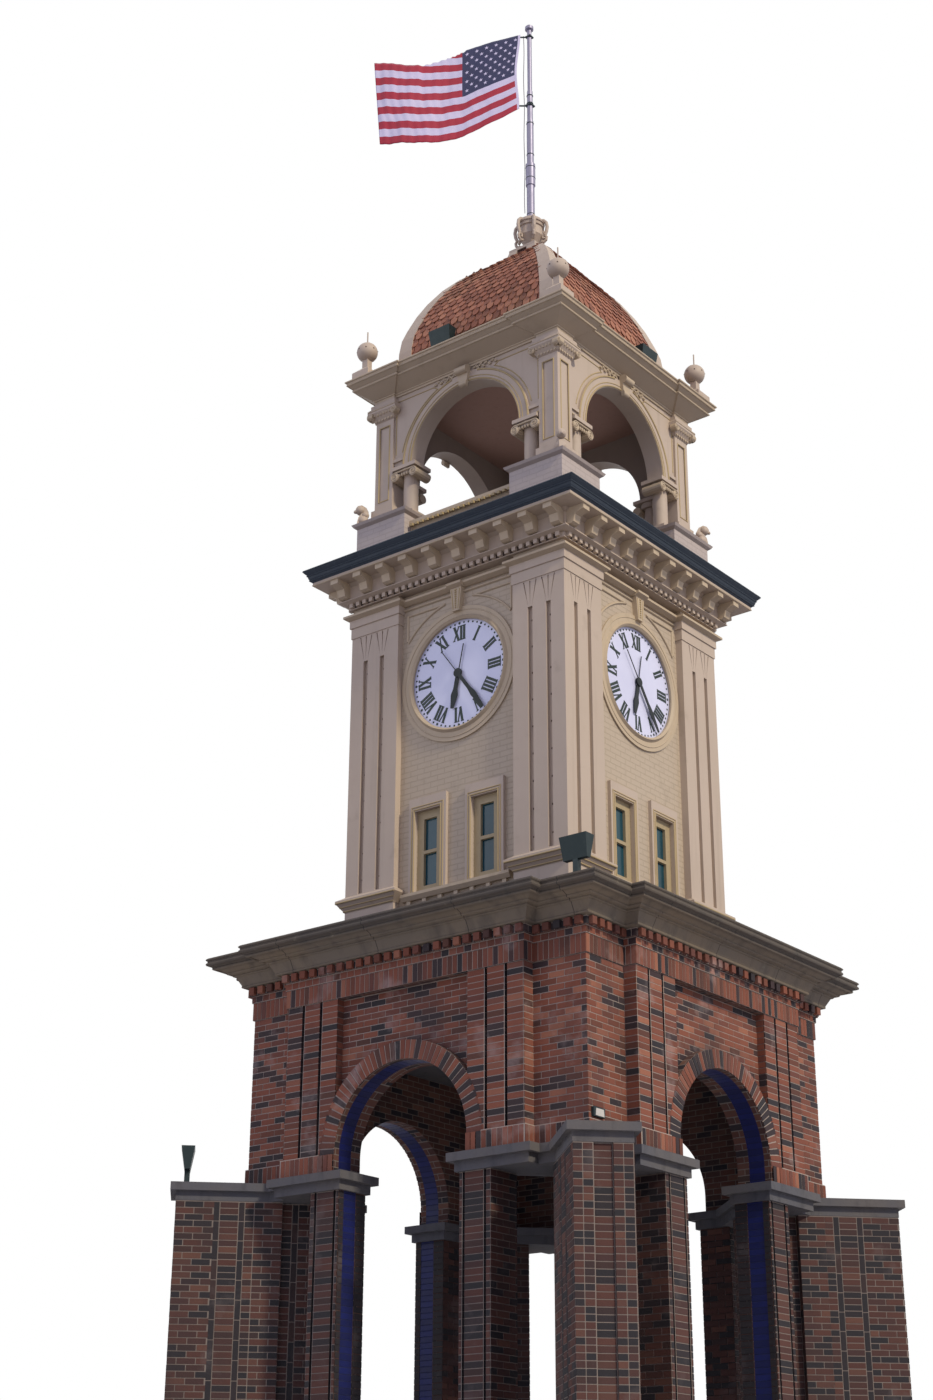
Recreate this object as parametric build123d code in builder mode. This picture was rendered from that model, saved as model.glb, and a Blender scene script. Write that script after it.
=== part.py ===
# Clock tower: brick arcade, stone clock stage, open belfry, domed roof and flagpole.
# Millimetres, Z up, origin on the tower axis at ground level; the front faces -Y, the right side +X.
# A side feature is drawn on the front and turned about the axis for the other three sides.
import os
from math import sqrt

from build123d import *

GAP = 0.3  # seating clearance round a piece let into another

# Ground stage
PIER_IN = 815
PIER_OUT = 1212
PIER_FACE = 2466
PIER_DEPTH = 427
PIER_GROOVE = 30
PIER_GROOVE_DEPTH = 25
PIER_BORDER = 40
PIER_OUTER_BORDER = 57
WING_HALF = 292
WEB_HALF = 200
WEB_START = 2250
WING_START = 2876
WING_END = 4030
WING_PANEL_WIDTH = 191
WING_PANEL_DEPTH = 30
CAP_OVER_WING = 68
CAP_OVER_PIER = 100
CAP_BOTTOM = 5578
CAP_STEP = CAP_BOTTOM + 100
CAP_TOP = CAP_STEP + 87
CAP_INSET = 62
CAP_JOG = 1775
CAP_JOG_FACE = 2406
CAP_CHAMFER = 1100
TILE_SET_BACK = 80
TILE_WIDTH = 193
TILE_THICK = 8

# Brick stage
BRICK_HALF = 2304
BAY_STEP = 160
BAY_HALF = 1636
FIELD_HALF = 905
FIELD_DEPTH = 100
BRICK_INNER = 2039
FOOT_BAND = 25
SOLDIER_BAND = 18
HEADER_BAND = 30
DENTIL_BAND = 57
SLOT_BOTTOM = CAP_TOP + 203
SLOT_TOP = SLOT_BOTTOM + 1687
HEADER_BOTTOM = SLOT_TOP + 200
DENTIL_BOTTOM = HEADER_BOTTOM + 82
BRICK_TOP = DENTIL_BOTTOM + 86
SLOT_WIDTH = 35
SLOT_DEPTH = 55
SLOT_AT = (1147.5, 1407.5)
ARCH_SPRING = CAP_TOP + 190
ARCH_RADIUS = 900
ARCH_RING = 200
CEILING_LEDGE = 100
CEILING_THICK = 150
CEILING_BOTTOM = BRICK_TOP - 573

# Stone cornice over the brick
CORNICE_PROFILE = ((57, 0), (112, 22), (180, 149), (233, 177), (352, 230), (408, 277), (408, 347))
CORNICE_TOP = BRICK_TOP + CORNICE_PROFILE[-1][1]
DECK_HALF = 2500
DECK_SPREAD = 60
DECK_EDGE = 40
DECK_TOP = CORNICE_TOP + 100

# Clock stage
CLOCK_HALF = 1608
CLOCK_WALL = 1515
CLOCK_INNER = 1215
PILASTER_IN = 868
PILASTER_BASE_OUT = 84
PILASTER_TOP = DECK_TOP + 4025
CLOCK_TOP = PILASTER_TOP + 240
GROOVE_AT = (1121, 1382)
GROOVE_WIDTH = 68
GROOVE_DEPTH = 45
GROOVE_BOTTOM = DECK_TOP + 705
GROOVE_TOP = PILASTER_TOP - 345
FLARE_TOP = PILASTER_TOP - 15
FLARE_SPREAD = 90
FLARE_FOOT = 25
FLARE_WIDTH = 16
FLARE_DEPTH = 20
WINDOW_AT = 415
WINDOW_WIDTH = 376
WINDOW_BOTTOM = DECK_TOP + 580
WINDOW_TOP = WINDOW_BOTTOM + 975
SURROUND_WIDTH = 550
SURROUND_TOP = WINDOW_TOP + 160
SURROUND_PROUD = 45
PANE_WIDTH = 190
PANE_BOTTOM = WINDOW_BOTTOM + 70
PANE_TOP = WINDOW_TOP - 95
MEETING_RAIL = 40
GLASS_THICK = 6
GLASS_FACE = 1463
FRAME_FACE = 1500
FRAME_DEPTH = 70
SILL_TOP = WINDOW_BOTTOM - 10
SILL_NOSE = 35
SILL_SPLAY = 30
SILL_FRONT = 1590
SILL_UNDER = SILL_TOP - 82
SILL_BLOCK_TALL = 88
SILL_BLOCK_WIDTH = 55
SILL_BLOCK_PITCH = 230
SILL_BLOCK_BACK = 40
DIAL_HEIGHT = CLOCK_TOP - 1091
DIAL_RADIUS = 683
DIAL_SEAT = 713
DIAL_FACE = 1505
DIAL_THICK = 20
RING_RADIUS = 850
RING_LIP = 740
RING_BAND = 22
RING_FOOT = 30
RING_ROLL = 52
KEYSTONE_FOOT = DIAL_HEIGHT + RING_LIP + 51
KEYSTONE_FOOT_HALF = 52
KEYSTONE_TOP_HALF = 85
KEYSTONE_FACE = 1585
KEYSTONE_CAP = 1640
KEYSTONE_CAP_OVER = 25

# Hands, turning on a spindle that stands out of each dial
SPINDLE_RADIUS = 14
BORE_CLEAR = 1
HOUR_FACE = 1522
MINUTE_FACE = 1540
HAND_THICK = 8
HOUR_ANGLE = 192
MINUTE_ANGLE = 144
HOUR_LENGTH = 440
MINUTE_LENGTH = 650
HOUR_WIDTH = 100
MINUTE_WIDTH = 75
HUB_RADIUS = 55
TAIL_WIDTH = 10
HOUR_TAIL = 370
MINUTE_TAIL = 415

# Entablature and upper cornice
ENTABLATURE_TOP = CLOCK_TOP + 148
FRIEZE_HALF = 1645
DENTIL_FOOT = ENTABLATURE_TOP + 12
DENTIL_TALL = 52
DENTIL_WIDTH = 52
DENTIL_PITCH = 105
DENTIL_COUNT = 31
DENTIL_PROUD = 45
CORONA_TOP = ENTABLATURE_TOP + 357
CORONA_SOFFIT = CORONA_TOP - 44
CORONA_HALF = 1971
BRACKET_BACK = 1715
BRACKET_FRONT = 1955
BRACKET_FOOT = ENTABLATURE_TOP + 98
BRACKET_NOSE = 62
BRACKET_PITCH = 362
BRACKET_COUNT = 10
BRACKET_WIDTH = 120
GUTTER_TOP = CORONA_TOP + 160
GUTTER_INNER = 1700

# Belfry
PEDESTAL_IN = 817
PEDESTAL_OUT = 1593
PEDESTAL_TOP = GUTTER_TOP + 616
PEDESTAL_CAP = PEDESTAL_TOP + 64
PARAPET_FACE = 1500
PARAPET_THICK = 150
PARAPET_LIP = 40
PARAPET_TOP = GUTTER_TOP + 535
PARAPET_COPING = PARAPET_TOP - 55
BELFRY_HALF = 1442
BELFRY_PIER_IN = 1155
BELFRY_WALL = 1410
BELFRY_INNER = 1200
PIER_PANEL_WIDTH = 165
PIER_PANEL_DEPTH = 14
PIER_PANEL_FOOT = 320
PIER_PANEL_HEAD = 85
COLUMN_AT = 952
COLUMN_OUT = 1310
COLUMN_RADIUS = 94
COLUMN_BASE = 70
COLUMN_NECK = 135
COLUMN_TOP = PEDESTAL_CAP + 610
CAPITAL_HALF = 185
CAPITAL_DEPTH = 160
CAPITAL_NECK = 70
BELFRY_SPRING = COLUMN_TOP + 120
BELFRY_RADIUS = 845
BELFRY_TOP = BELFRY_SPRING + BELFRY_RADIUS + 207
ARCHIVOLT_RADIUS = 1000
ARCHIVOLT_PROUD = 25
IMPOST_RISE = 95
IMPOST_TALL = 45
CAPITAL_BOTTOM = BELFRY_TOP - 298
SCROLL_FOOT_HALF = 52
SCROLL_HEAD_HALF = 100
ROOF_CORNICE_PROFILE = ((20, 0), (20, 38), (220, 174), (220, 204), (281, 258), (297, 318))
ROOF_CORNICE_TOP = BELFRY_TOP + ROOF_CORNICE_PROFILE[-1][1]

# Roof: half width of the square dome at each height above the cornice, up to the flare under the platform
DOME = ((1232, 0), (1228, 220), (1222, 470), (1198, 670), (1150, 830), (1062, 1070), (962, 1280), (822, 1510),
        (672, 1690), (512, 1840), (372, 1950), (260, 2020), (212, 2090), (186, 2180))
DOME_TALL = DOME[-1][1]
DOME_THICK = 60
RIB_PROUD = 28
RIB_FOOT = 200
RIB_HEAD = 110
PLATFORM_HALF = 214
PLATFORM_TOP = ROOF_CORNICE_TOP + DOME_TALL + 40
URN_TOP = PLATFORM_TOP + 500
BALL_AT = 1545
BALL_BLOCK = 136
BALL_BLOCK_TALL = 130
BALL_STEM = 45
BALL_STEM_FOOT = 220
BALL_RADIUS = 138
BALL_RISE = 465
SPIKE_RADIUS = 9
SPIKE_LENGTH = 175

# Flagpole, in steps from the foot up, and the flag
POLE_TOP = URN_TOP + 3374
POLE_STEPS = ((54, 600), (66, 955), (48, 1687), (40, 2206))
POLE_MIDDLE = 40
POLE_UPPER = 32
TRUCK_RADIUS = 60
TRUCK_TALL = 45
TRUCK_DROP = 74
FLAG_HEAD = POLE_TOP - 158
FLAG_FOOT = FLAG_HEAD - 1298
FLAG_THICK = 5
FLY_HEAD_AT = 2196
FLY_HEAD_DROP = 539
FLY_FOOT_AT = 2091
FLY_FOOT_DROP = 612
HOIST_HEAD = 126
HOIST_FOOT = 148
CLIP_THICK = 12
CLIP_TALL = 20
CLIP_HEAD_DROP = 56
CLIP_FOOT_RISE = 36

# Scroll ornaments and floodlights
SCROLL_AT = 1545
SCROLL_THICK = 60
SCROLL_BASE = 45
LAMP_FOOT = 60
LAMP_POST = 180
LAMP_WIDTH = 340
LAMP_DEEP = 150
LAMP_TALL = 250
DOME_LAMP_OUT = 1400
DOME_LAMP_FRONT = -400
DOME_LAMP_RIGHT = 600
CORNER_LAMP = (2400, -2570)
WING_LAMP = 2780
LIGHT_BOX_AT = -2170
LIGHT_BOX_WIDTH = 190
LIGHT_BOX_DEPTH = 40
LIGHT_BOX_TALL = 95
LIGHT_BOX_RISE = 70


def raised(profile, foot):
    """A profile of (projection, rise) pairs set on the height it stands on."""
    return [(out, foot + rise) for out, rise in profile]


def plan(half, jog_at, jog):
    """Corners of a square plan whose sides step out by jog over their middle part."""
    side = [(-half, -half), (-jog_at, -half), (-jog_at, -half - jog), (jog_at, -half - jog), (jog_at, -half)]
    turned = side + [(-y, x) for x, y in side]
    return turned + [(-x, -y) for x, y in turned]


def moulded(profile, half, jog_at, jog):
    """A band of moulding filled in to the axis: (projection, height) pairs carried round a stepped plan."""
    spread = 1 if jog > 0 else -1
    with BuildPart() as band:
        for (low_out, low), (high_out, high) in zip(profile, profile[1:]):
            if high > low:
                for out, height in ((low_out, low), (high_out, high)):
                    with BuildSketch(Plane.XY.offset(height)):
                        Polygon(*plan(half + out, jog_at + spread * out, jog), align=None)
                loft(ruled=True)
    return band.part


def squares(profile):
    """A tapering square body: (half width, height) pairs joined one above the other."""
    with BuildPart() as body:
        for (low_half, low), (high_half, high) in zip(profile, profile[1:]):
            if high > low:
                for half, height in ((low_half, low), (high_half, high)):
                    with BuildSketch(Plane.XY.offset(height)):
                        Rectangle(2 * half, 2 * half)
                loft(ruled=True)
    return body.part


def arch_outline(radius, springing, foot, mode=Mode.ADD):
    """A round-headed opening standing on foot, drawn on the sketch in use."""
    with BuildLine() as outline:
        if foot < springing:
            Polyline((-radius, springing), (-radius, foot), (radius, foot), (radius, springing))
        else:
            Line((-radius, springing), (radius, springing))
        ThreePointArc((-radius, springing), (0, springing + radius), (radius, springing))
    make_face(outline.edges(), mode=mode)


def hollow(half, low, high):
    """A square room cut out of the part in use."""
    with BuildSketch(Plane.XY.offset(low)) as room:
        Rectangle(2 * half, 2 * half)
    extrude(room.sketch, amount=high - low, mode=Mode.SUBTRACT)


# Wing piers: four brick fins on the diagonals, each with a thinner web running in to the corner
with BuildPart() as wing_piers:
    with BuildSketch():
        with PolarLocations((WING_START + WING_END) / 2, 4, start_angle=45):
            Rectangle(WING_END - WING_START, 2 * WING_HALF)
        with PolarLocations((WEB_START + WING_START) / 2, 4, start_angle=45):
            Rectangle(WING_START - WEB_START, 2 * WEB_HALF)
        with PolarLocations(WING_END, 4, start_angle=45):
            Rectangle(2 * WING_PANEL_DEPTH, WING_PANEL_WIDTH, mode=Mode.SUBTRACT)
    extrude(amount=CAP_BOTTOM)

# Jamb piers: two to a side, each with two upright grooves and a rebate for the tile strip
inner_groove = PIER_IN + PIER_BORDER + PIER_GROOVE / 2
outer_groove = PIER_OUT - PIER_OUTER_BORDER - PIER_GROOVE / 2
tile_middle = -PIER_FACE + TILE_SET_BACK + TILE_WIDTH / 2
with BuildPart() as jamb_piers:
    with BuildSketch():
        with PolarLocations(0, 4):
            for side in (-1, 1):
                with Locations((side * (PIER_IN + PIER_OUT) / 2, -PIER_FACE + PIER_DEPTH / 2)):
                    Rectangle(PIER_OUT - PIER_IN, PIER_DEPTH)
    extrude(amount=CAP_BOTTOM)
    with BuildSketch():
        with PolarLocations(0, 4):
            for side in (-1, 1):
                with Locations((side * inner_groove, -PIER_FACE), (side * outer_groove, -PIER_FACE)):
                    Rectangle(PIER_GROOVE, 2 * PIER_GROOVE_DEPTH)
                with Locations((side * (PIER_IN + TILE_THICK / 2), tile_middle)):
                    Rectangle(TILE_THICK, TILE_WIDTH)
    extrude(amount=CAP_BOTTOM, mode=Mode.SUBTRACT)

# Impost caps: one concrete slab to a corner, carried over both jamb piers and the wing
cap_edge = PIER_FACE + CAP_OVER_PIER
cap_end = PIER_IN - CAP_OVER_PIER - 3
cap_back = PIER_FACE - PIER_DEPTH - CAP_OVER_PIER
flank = (WING_HALF + CAP_OVER_WING) * sqrt(2)
tip = (WING_END + CAP_OVER_WING) * sqrt(2)
half_cap = [(CAP_CHAMFER, cap_back), (cap_end, cap_back), (cap_end, cap_edge), (CAP_JOG, cap_edge),
            (CAP_JOG, CAP_JOG_FACE), (CAP_JOG_FACE - flank, CAP_JOG_FACE),
            ((tip - flank) / 2, (tip + flank) / 2)]
cap_outline = half_cap + [(y, x) for x, y in reversed(half_cap)]
with BuildPart() as impost_cap:
    with BuildSketch(Plane.XY.offset(CAP_STEP)):
        Polygon(*cap_outline, align=None)
    extrude(amount=CAP_TOP - CAP_STEP)
    with BuildSketch(Plane.XY.offset(CAP_BOTTOM)):
        Polygon(*cap_outline, align=None)
        offset(amount=-CAP_INSET, kind=Kind.INTERSECTION)
    extrude(amount=CAP_STEP - CAP_BOTTOM)
with BuildPart() as impost_caps:
    with PolarLocations(0, 4):
        add(impost_cap.part)

# Brick walls: corner blocks and bays, brick bands, hollow inside, one arch to a side
band_profile = ((FOOT_BAND, CAP_TOP), (FOOT_BAND, SLOT_BOTTOM), (0, SLOT_BOTTOM), (0, SLOT_TOP),
                (SOLDIER_BAND, SLOT_TOP), (SOLDIER_BAND, HEADER_BOTTOM), (HEADER_BAND, HEADER_BOTTOM),
                (HEADER_BAND, DENTIL_BOTTOM), (DENTIL_BAND, DENTIL_BOTTOM), (DENTIL_BAND, BRICK_TOP))
bay_face = BRICK_HALF + BAY_STEP
with BuildPart() as field_panel:
    with BuildSketch(Plane.XZ.offset(bay_face - FIELD_DEPTH)):
        with Locations((0, (CAP_TOP + SLOT_TOP) / 2)):
            Rectangle(2 * FIELD_HALF, SLOT_TOP - CAP_TOP)
    extrude(amount=3 * FIELD_DEPTH)
    with BuildSketch(Plane.XZ.offset(bay_face - SLOT_DEPTH)):
        for across in SLOT_AT:
            with Locations((across, (SLOT_BOTTOM + SLOT_TOP) / 2), (-across, (SLOT_BOTTOM + SLOT_TOP) / 2)):
                Rectangle(SLOT_WIDTH, SLOT_TOP - SLOT_BOTTOM)
    extrude(amount=2 * SLOT_DEPTH)
    with BuildSketch(Plane.XZ.offset(BRICK_INNER - FIELD_DEPTH)):
        arch_outline(ARCH_RADIUS + ARCH_RING + GAP, ARCH_SPRING, CAP_TOP)
    extrude(amount=bay_face - BRICK_INNER + 3 * FIELD_DEPTH)
with BuildPart() as brick_walls:
    add(moulded(band_profile, BRICK_HALF, BAY_HALF, BAY_STEP))
    hollow(BRICK_INNER, CAP_TOP, CEILING_BOTTOM)
    hollow(BRICK_INNER + CEILING_LEDGE, CEILING_BOTTOM, BRICK_TOP)
    with PolarLocations(0, 4):
        add(field_panel.part, mode=Mode.SUBTRACT)

# Arch rings: voussoirs with straight legs, flush with the bays
with BuildPart() as arch_ring:
    with BuildSketch(Plane.XZ.offset(bay_face)):
        arch_outline(ARCH_RADIUS + ARCH_RING, ARCH_SPRING, CAP_TOP)
        arch_outline(ARCH_RADIUS, ARCH_SPRING, CAP_TOP, Mode.SUBTRACT)
    extrude(amount=BRICK_INNER - bay_face)
    with BuildSketch(Plane.XZ.offset(bay_face - TILE_SET_BACK)):
        arch_outline(ARCH_RADIUS + TILE_THICK, ARCH_SPRING, CAP_TOP)
    extrude(amount=-TILE_WIDTH, mode=Mode.SUBTRACT)
with BuildPart() as arch_rings:
    with PolarLocations(0, 4):
        add(arch_ring.part)

# Tile strips: glazed bands let into the arch soffits and the pier reveals
with BuildPart() as tile_strip:
    with BuildSketch(Plane.XZ.offset(bay_face - TILE_SET_BACK - GAP)):
        arch_outline(ARCH_RADIUS + TILE_THICK - GAP, ARCH_SPRING, CAP_TOP)
        arch_outline(ARCH_RADIUS, ARCH_SPRING, CAP_TOP, Mode.SUBTRACT)
    extrude(amount=2 * GAP - TILE_WIDTH)
    with BuildSketch():
        for side in (-1, 1):
            with Locations((side * (PIER_IN + TILE_THICK / 2), tile_middle)):
                Rectangle(TILE_THICK, TILE_WIDTH - 2 * GAP)
    extrude(amount=CAP_BOTTOM)
with BuildPart() as blue_tile_strips:
    with PolarLocations(0, 4):
        add(tile_strip.part)

# Ceiling over the arcade, resting on the ledge inside the walls
with BuildPart() as arcade_ceiling:
    with BuildSketch(Plane.XY.offset(CEILING_BOTTOM)):
        Rectangle(2 * (BRICK_INNER + CEILING_LEDGE - GAP), 2 * (BRICK_INNER + CEILING_LEDGE - GAP))
    extrude(amount=CEILING_THICK)

# Stone cornice over the brick stage, following the bays
with BuildPart() as brick_cornice:
    add(moulded(raised(CORNICE_PROFILE, BRICK_TOP), BRICK_HALF, BAY_HALF, BAY_STEP))
    hollow(BRICK_INNER + CEILING_LEDGE, BRICK_TOP, CORNICE_TOP)

# Deck under the clock stage
with BuildPart() as clock_deck:
    add(squares(((DECK_HALF, CORNICE_TOP), (DECK_HALF, CORNICE_TOP + DECK_EDGE),
                 (CLOCK_HALF + DECK_SPREAD, DECK_TOP))))

# Clock stage walls: hollow, with window openings and a round seat for each dial
with BuildPart() as clock_opening:
    with BuildSketch(Plane.XZ.offset(CLOCK_INNER - FRAME_DEPTH)):
        with Locations((WINDOW_AT, (WINDOW_BOTTOM + WINDOW_TOP) / 2),
                       (-WINDOW_AT, (WINDOW_BOTTOM + WINDOW_TOP) / 2)):
            Rectangle(WINDOW_WIDTH, WINDOW_TOP - WINDOW_BOTTOM)
    extrude(amount=CLOCK_HALF - CLOCK_INNER + FRAME_DEPTH)
    with BuildSketch(Plane.XZ.offset(DIAL_FACE - DIAL_THICK)):
        with Locations((0, DIAL_HEIGHT)):
            Circle(DIAL_SEAT + GAP)
    extrude(amount=CLOCK_HALF - DIAL_FACE + DIAL_THICK)
with BuildPart() as clock_walls:
    add(squares(((CLOCK_WALL, DECK_TOP), (CLOCK_WALL, CLOCK_TOP))))
    hollow(CLOCK_INNER, DECK_TOP, CLOCK_TOP)
    with PolarLocations(0, 4):
        add(clock_opening.part, mode=Mode.SUBTRACT)

# Corner pilasters with moulded bases, stepped capitals and two flutes on each face
base_profile = ((0, 0), (0, 498), (14, 522), (PILASTER_BASE_OUT, 615), (PILASTER_BASE_OUT, 642), (20, 680),
                (0, 695))
capital_profile = ((0, 0), (11, 0), (11, 133), (27, 140), (27, CLOCK_TOP - PILASTER_TOP))
with BuildPart() as flutes:
    with BuildSketch(Plane.XZ.offset(CLOCK_HALF - GROOVE_DEPTH)):
        for across in GROOVE_AT:
            for side in (-1, 1):
                with Locations((side * across, (GROOVE_BOTTOM + GROOVE_TOP) / 2)):
                    Rectangle(GROOVE_WIDTH, GROOVE_TOP - GROOVE_BOTTOM)
    extrude(amount=2 * GROOVE_DEPTH)
    with BuildSketch(Plane.XZ.offset(CLOCK_HALF - FLARE_DEPTH)):
        for across in GROOVE_AT:
            for side in (-1, 1):
                for lean in (-1, 0, 1):
                    foot, head = side * across, side * across + lean * FLARE_SPREAD
                    Polygon((foot + lean * FLARE_FOOT, GROOVE_TOP - 5), (head - FLARE_WIDTH / 2, FLARE_TOP),
                            (head + FLARE_WIDTH / 2, FLARE_TOP), align=None)
    extrude(amount=2 * FLARE_DEPTH)
with BuildPart() as clock_pilasters:
    add(moulded(raised(base_profile, DECK_TOP) + raised(capital_profile, PILASTER_TOP),
                CLOCK_HALF, PILASTER_IN, 2 * (CLOCK_WALL - CLOCK_HALF)))
    hollow(CLOCK_WALL, DECK_TOP, CLOCK_TOP)
    with PolarLocations(0, 4):
        add(flutes.part, mode=Mode.SUBTRACT)

# Sill band between the pilasters, with a row of small blocks under it
with BuildPart() as sill_band:
    with BuildSketch(Plane.YZ):
        with BuildLine():
            Polyline((-CLOCK_WALL, SILL_UNDER), (-CLOCK_WALL, SILL_TOP), (-SILL_FRONT, SILL_TOP),
                     (-SILL_FRONT, SILL_TOP - SILL_NOSE), (-SILL_FRONT + SILL_SPLAY, SILL_UNDER), close=True)
        make_face()
    extrude(amount=PILASTER_IN - PILASTER_BASE_OUT - GAP, both=True)
    with BuildSketch(Plane.XZ.offset(CLOCK_WALL)):
        with Locations((0, SILL_UNDER - SILL_BLOCK_TALL / 2)):
            with GridLocations(SILL_BLOCK_PITCH, 0, 7, 1):
                Rectangle(SILL_BLOCK_WIDTH, SILL_BLOCK_TALL)
    extrude(amount=SILL_FRONT - SILL_BLOCK_BACK - CLOCK_WALL)
with BuildPart() as sill_bands:
    with PolarLocations(0, 4):
        add(sill_band.part)

# Window surrounds, frames and glass
with BuildPart() as surround:
    with BuildSketch(Plane.XZ.offset(CLOCK_WALL)):
        for side in (-1, 1):
            with Locations((side * WINDOW_AT, (SILL_TOP + SURROUND_TOP) / 2)):
                Rectangle(SURROUND_WIDTH, SURROUND_TOP - SILL_TOP)
            with Locations((side * WINDOW_AT, (SILL_TOP + WINDOW_TOP) / 2)):
                Rectangle(WINDOW_WIDTH, WINDOW_TOP - SILL_TOP, mode=Mode.SUBTRACT)
    extrude(amount=SURROUND_PROUD)
with BuildPart() as window_surrounds:
    with PolarLocations(0, 4):
        add(surround.part)

with BuildPart() as sash:
    with BuildSketch(Plane.XZ.offset(FRAME_FACE)):
        for side in (-1, 1):
            with Locations((side * WINDOW_AT, (WINDOW_BOTTOM + WINDOW_TOP) / 2)):
                Rectangle(WINDOW_WIDTH - 2 * GAP, WINDOW_TOP - WINDOW_BOTTOM - GAP)
            with Locations((side * WINDOW_AT, (PANE_BOTTOM + PANE_TOP) / 2)):
                Rectangle(PANE_WIDTH, PANE_TOP - PANE_BOTTOM, mode=Mode.SUBTRACT)
    extrude(amount=-FRAME_DEPTH)
    with BuildSketch(Plane.XZ.offset(FRAME_FACE)):
        for side in (-1, 1):
            with Locations((side * WINDOW_AT, (PANE_BOTTOM + PANE_TOP) / 2)):
                Rectangle(PANE_WIDTH, MEETING_RAIL)
    extrude(amount=-(FRAME_FACE - GLASS_FACE - GAP))
with BuildPart() as window_frames:
    with PolarLocations(0, 4):
        add(sash.part)

with BuildPart() as panes:
    with BuildSketch(Plane.XZ.offset(GLASS_FACE)):
        for side in (-1, 1):
            with Locations((side * WINDOW_AT, (PANE_BOTTOM + PANE_TOP) / 2)):
                Rectangle(PANE_WIDTH - 2 * GAP, PANE_TOP - PANE_BOTTOM - 2 * GAP)
    extrude(amount=-GLASS_THICK)
with BuildPart() as window_glass:
    with PolarLocations(0, 4):
        add(panes.part)

# Dials, each with the spindle that its hands turn on
with BuildPart() as dial:
    with BuildSketch(Plane.XZ.offset(DIAL_FACE)):
        with Locations((0, DIAL_HEIGHT)):
            Circle(DIAL_SEAT)
    extrude(amount=-DIAL_THICK)
    with BuildSketch(Plane.XZ.offset(DIAL_FACE)):
        with Locations((0, DIAL_HEIGHT)):
            Circle(SPINDLE_RADIUS)
    extrude(amount=MINUTE_FACE - DIAL_FACE)
with BuildPart() as dials:
    with PolarLocations(0, 4):
        add(dial.part)

# Dial rings: a splayed inner roll and a flat outer band
with BuildPart() as dial_ring:
    with BuildSketch(Plane.YZ):
        with Locations((-CLOCK_WALL, DIAL_HEIGHT)):
            Polygon((0, DIAL_RADIUS), (-RING_FOOT, DIAL_RADIUS), (-RING_ROLL, (DIAL_RADIUS + RING_LIP) / 2),
                    (-RING_BAND, RING_LIP), (-RING_BAND, RING_RADIUS), (0, RING_RADIUS), align=None)
    revolve(axis=Axis((0, 0, DIAL_HEIGHT), (0, -1, 0)))
with BuildPart() as dial_rings:
    with PolarLocations(0, 4):
        add(dial_ring.part)

# Keystones over the dials, widening upwards to the cornice
with BuildPart() as dial_keystone:
    with BuildSketch(Plane.XZ.offset(CLOCK_WALL)):
        Polygon((-KEYSTONE_FOOT_HALF, KEYSTONE_FOOT), (KEYSTONE_FOOT_HALF, KEYSTONE_FOOT),
                (KEYSTONE_TOP_HALF, CLOCK_TOP), (-KEYSTONE_TOP_HALF, CLOCK_TOP), align=None)
    extrude(amount=KEYSTONE_FACE - CLOCK_WALL)
    with BuildSketch(Plane.XZ.offset(CLOCK_WALL)):
        with Locations((0, DIAL_HEIGHT)):
            Circle(RING_RADIUS + GAP)
    extrude(amount=RING_BAND + GAP, mode=Mode.SUBTRACT)
with BuildPart() as dial_keystones:
    with PolarLocations(0, 4):
        add(dial_keystone.part)


def hand(face, length, tail, angle, width, capped):
    """A spade hand with a round boss and a thin tail, bored for the spindle, at a clockwise angle."""
    half_outline = [(width * 0.3, 0), (width * 0.3, length * 0.45), (width * 0.5, length * 0.62),
                    (width * 0.2, length)]
    tail_outline = [(TAIL_WIDTH / 2, 0), (TAIL_WIDTH / 2, -tail), (-TAIL_WIDTH / 2, -tail), (-TAIL_WIDTH / 2, 0)]
    with BuildPart() as pointer:
        with BuildSketch(Plane.XZ.offset(face)):
            with Locations(Location((0, DIAL_HEIGHT), -angle)):
                Polygon(*[(-x, z) for x, z in half_outline], *reversed(half_outline), *tail_outline, align=None)
                Circle(HUB_RADIUS)
        extrude(amount=HAND_THICK)
        with BuildSketch(Plane.XZ.offset(face)):
            with Locations((0, DIAL_HEIGHT)):
                Circle(SPINDLE_RADIUS + BORE_CLEAR)
        extrude(amount=HAND_THICK / 2 if capped else HAND_THICK, mode=Mode.SUBTRACT)
    return pointer.part


with BuildPart() as front_minute_hand:
    add(hand(MINUTE_FACE - HAND_THICK / 4, MINUTE_LENGTH, MINUTE_TAIL, MINUTE_ANGLE, MINUTE_WIDTH, True))
with BuildPart() as front_hour_hand:
    add(hand(HOUR_FACE, HOUR_LENGTH, HOUR_TAIL, HOUR_ANGLE, HOUR_WIDTH, False))
with BuildPart() as right_minute_hand:
    add(front_minute_hand.part, rotation=(0, 0, 90))
with BuildPart() as right_hour_hand:
    add(front_hour_hand.part, rotation=(0, 0, 90))
with BuildPart() as back_minute_hand:
    add(front_minute_hand.part, rotation=(0, 0, 180))
with BuildPart() as back_hour_hand:
    add(front_hour_hand.part, rotation=(0, 0, 180))
with BuildPart() as left_minute_hand:
    add(front_minute_hand.part, rotation=(0, 0, 270))
with BuildPart() as left_hour_hand:
    add(front_hour_hand.part, rotation=(0, 0, 270))

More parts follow.
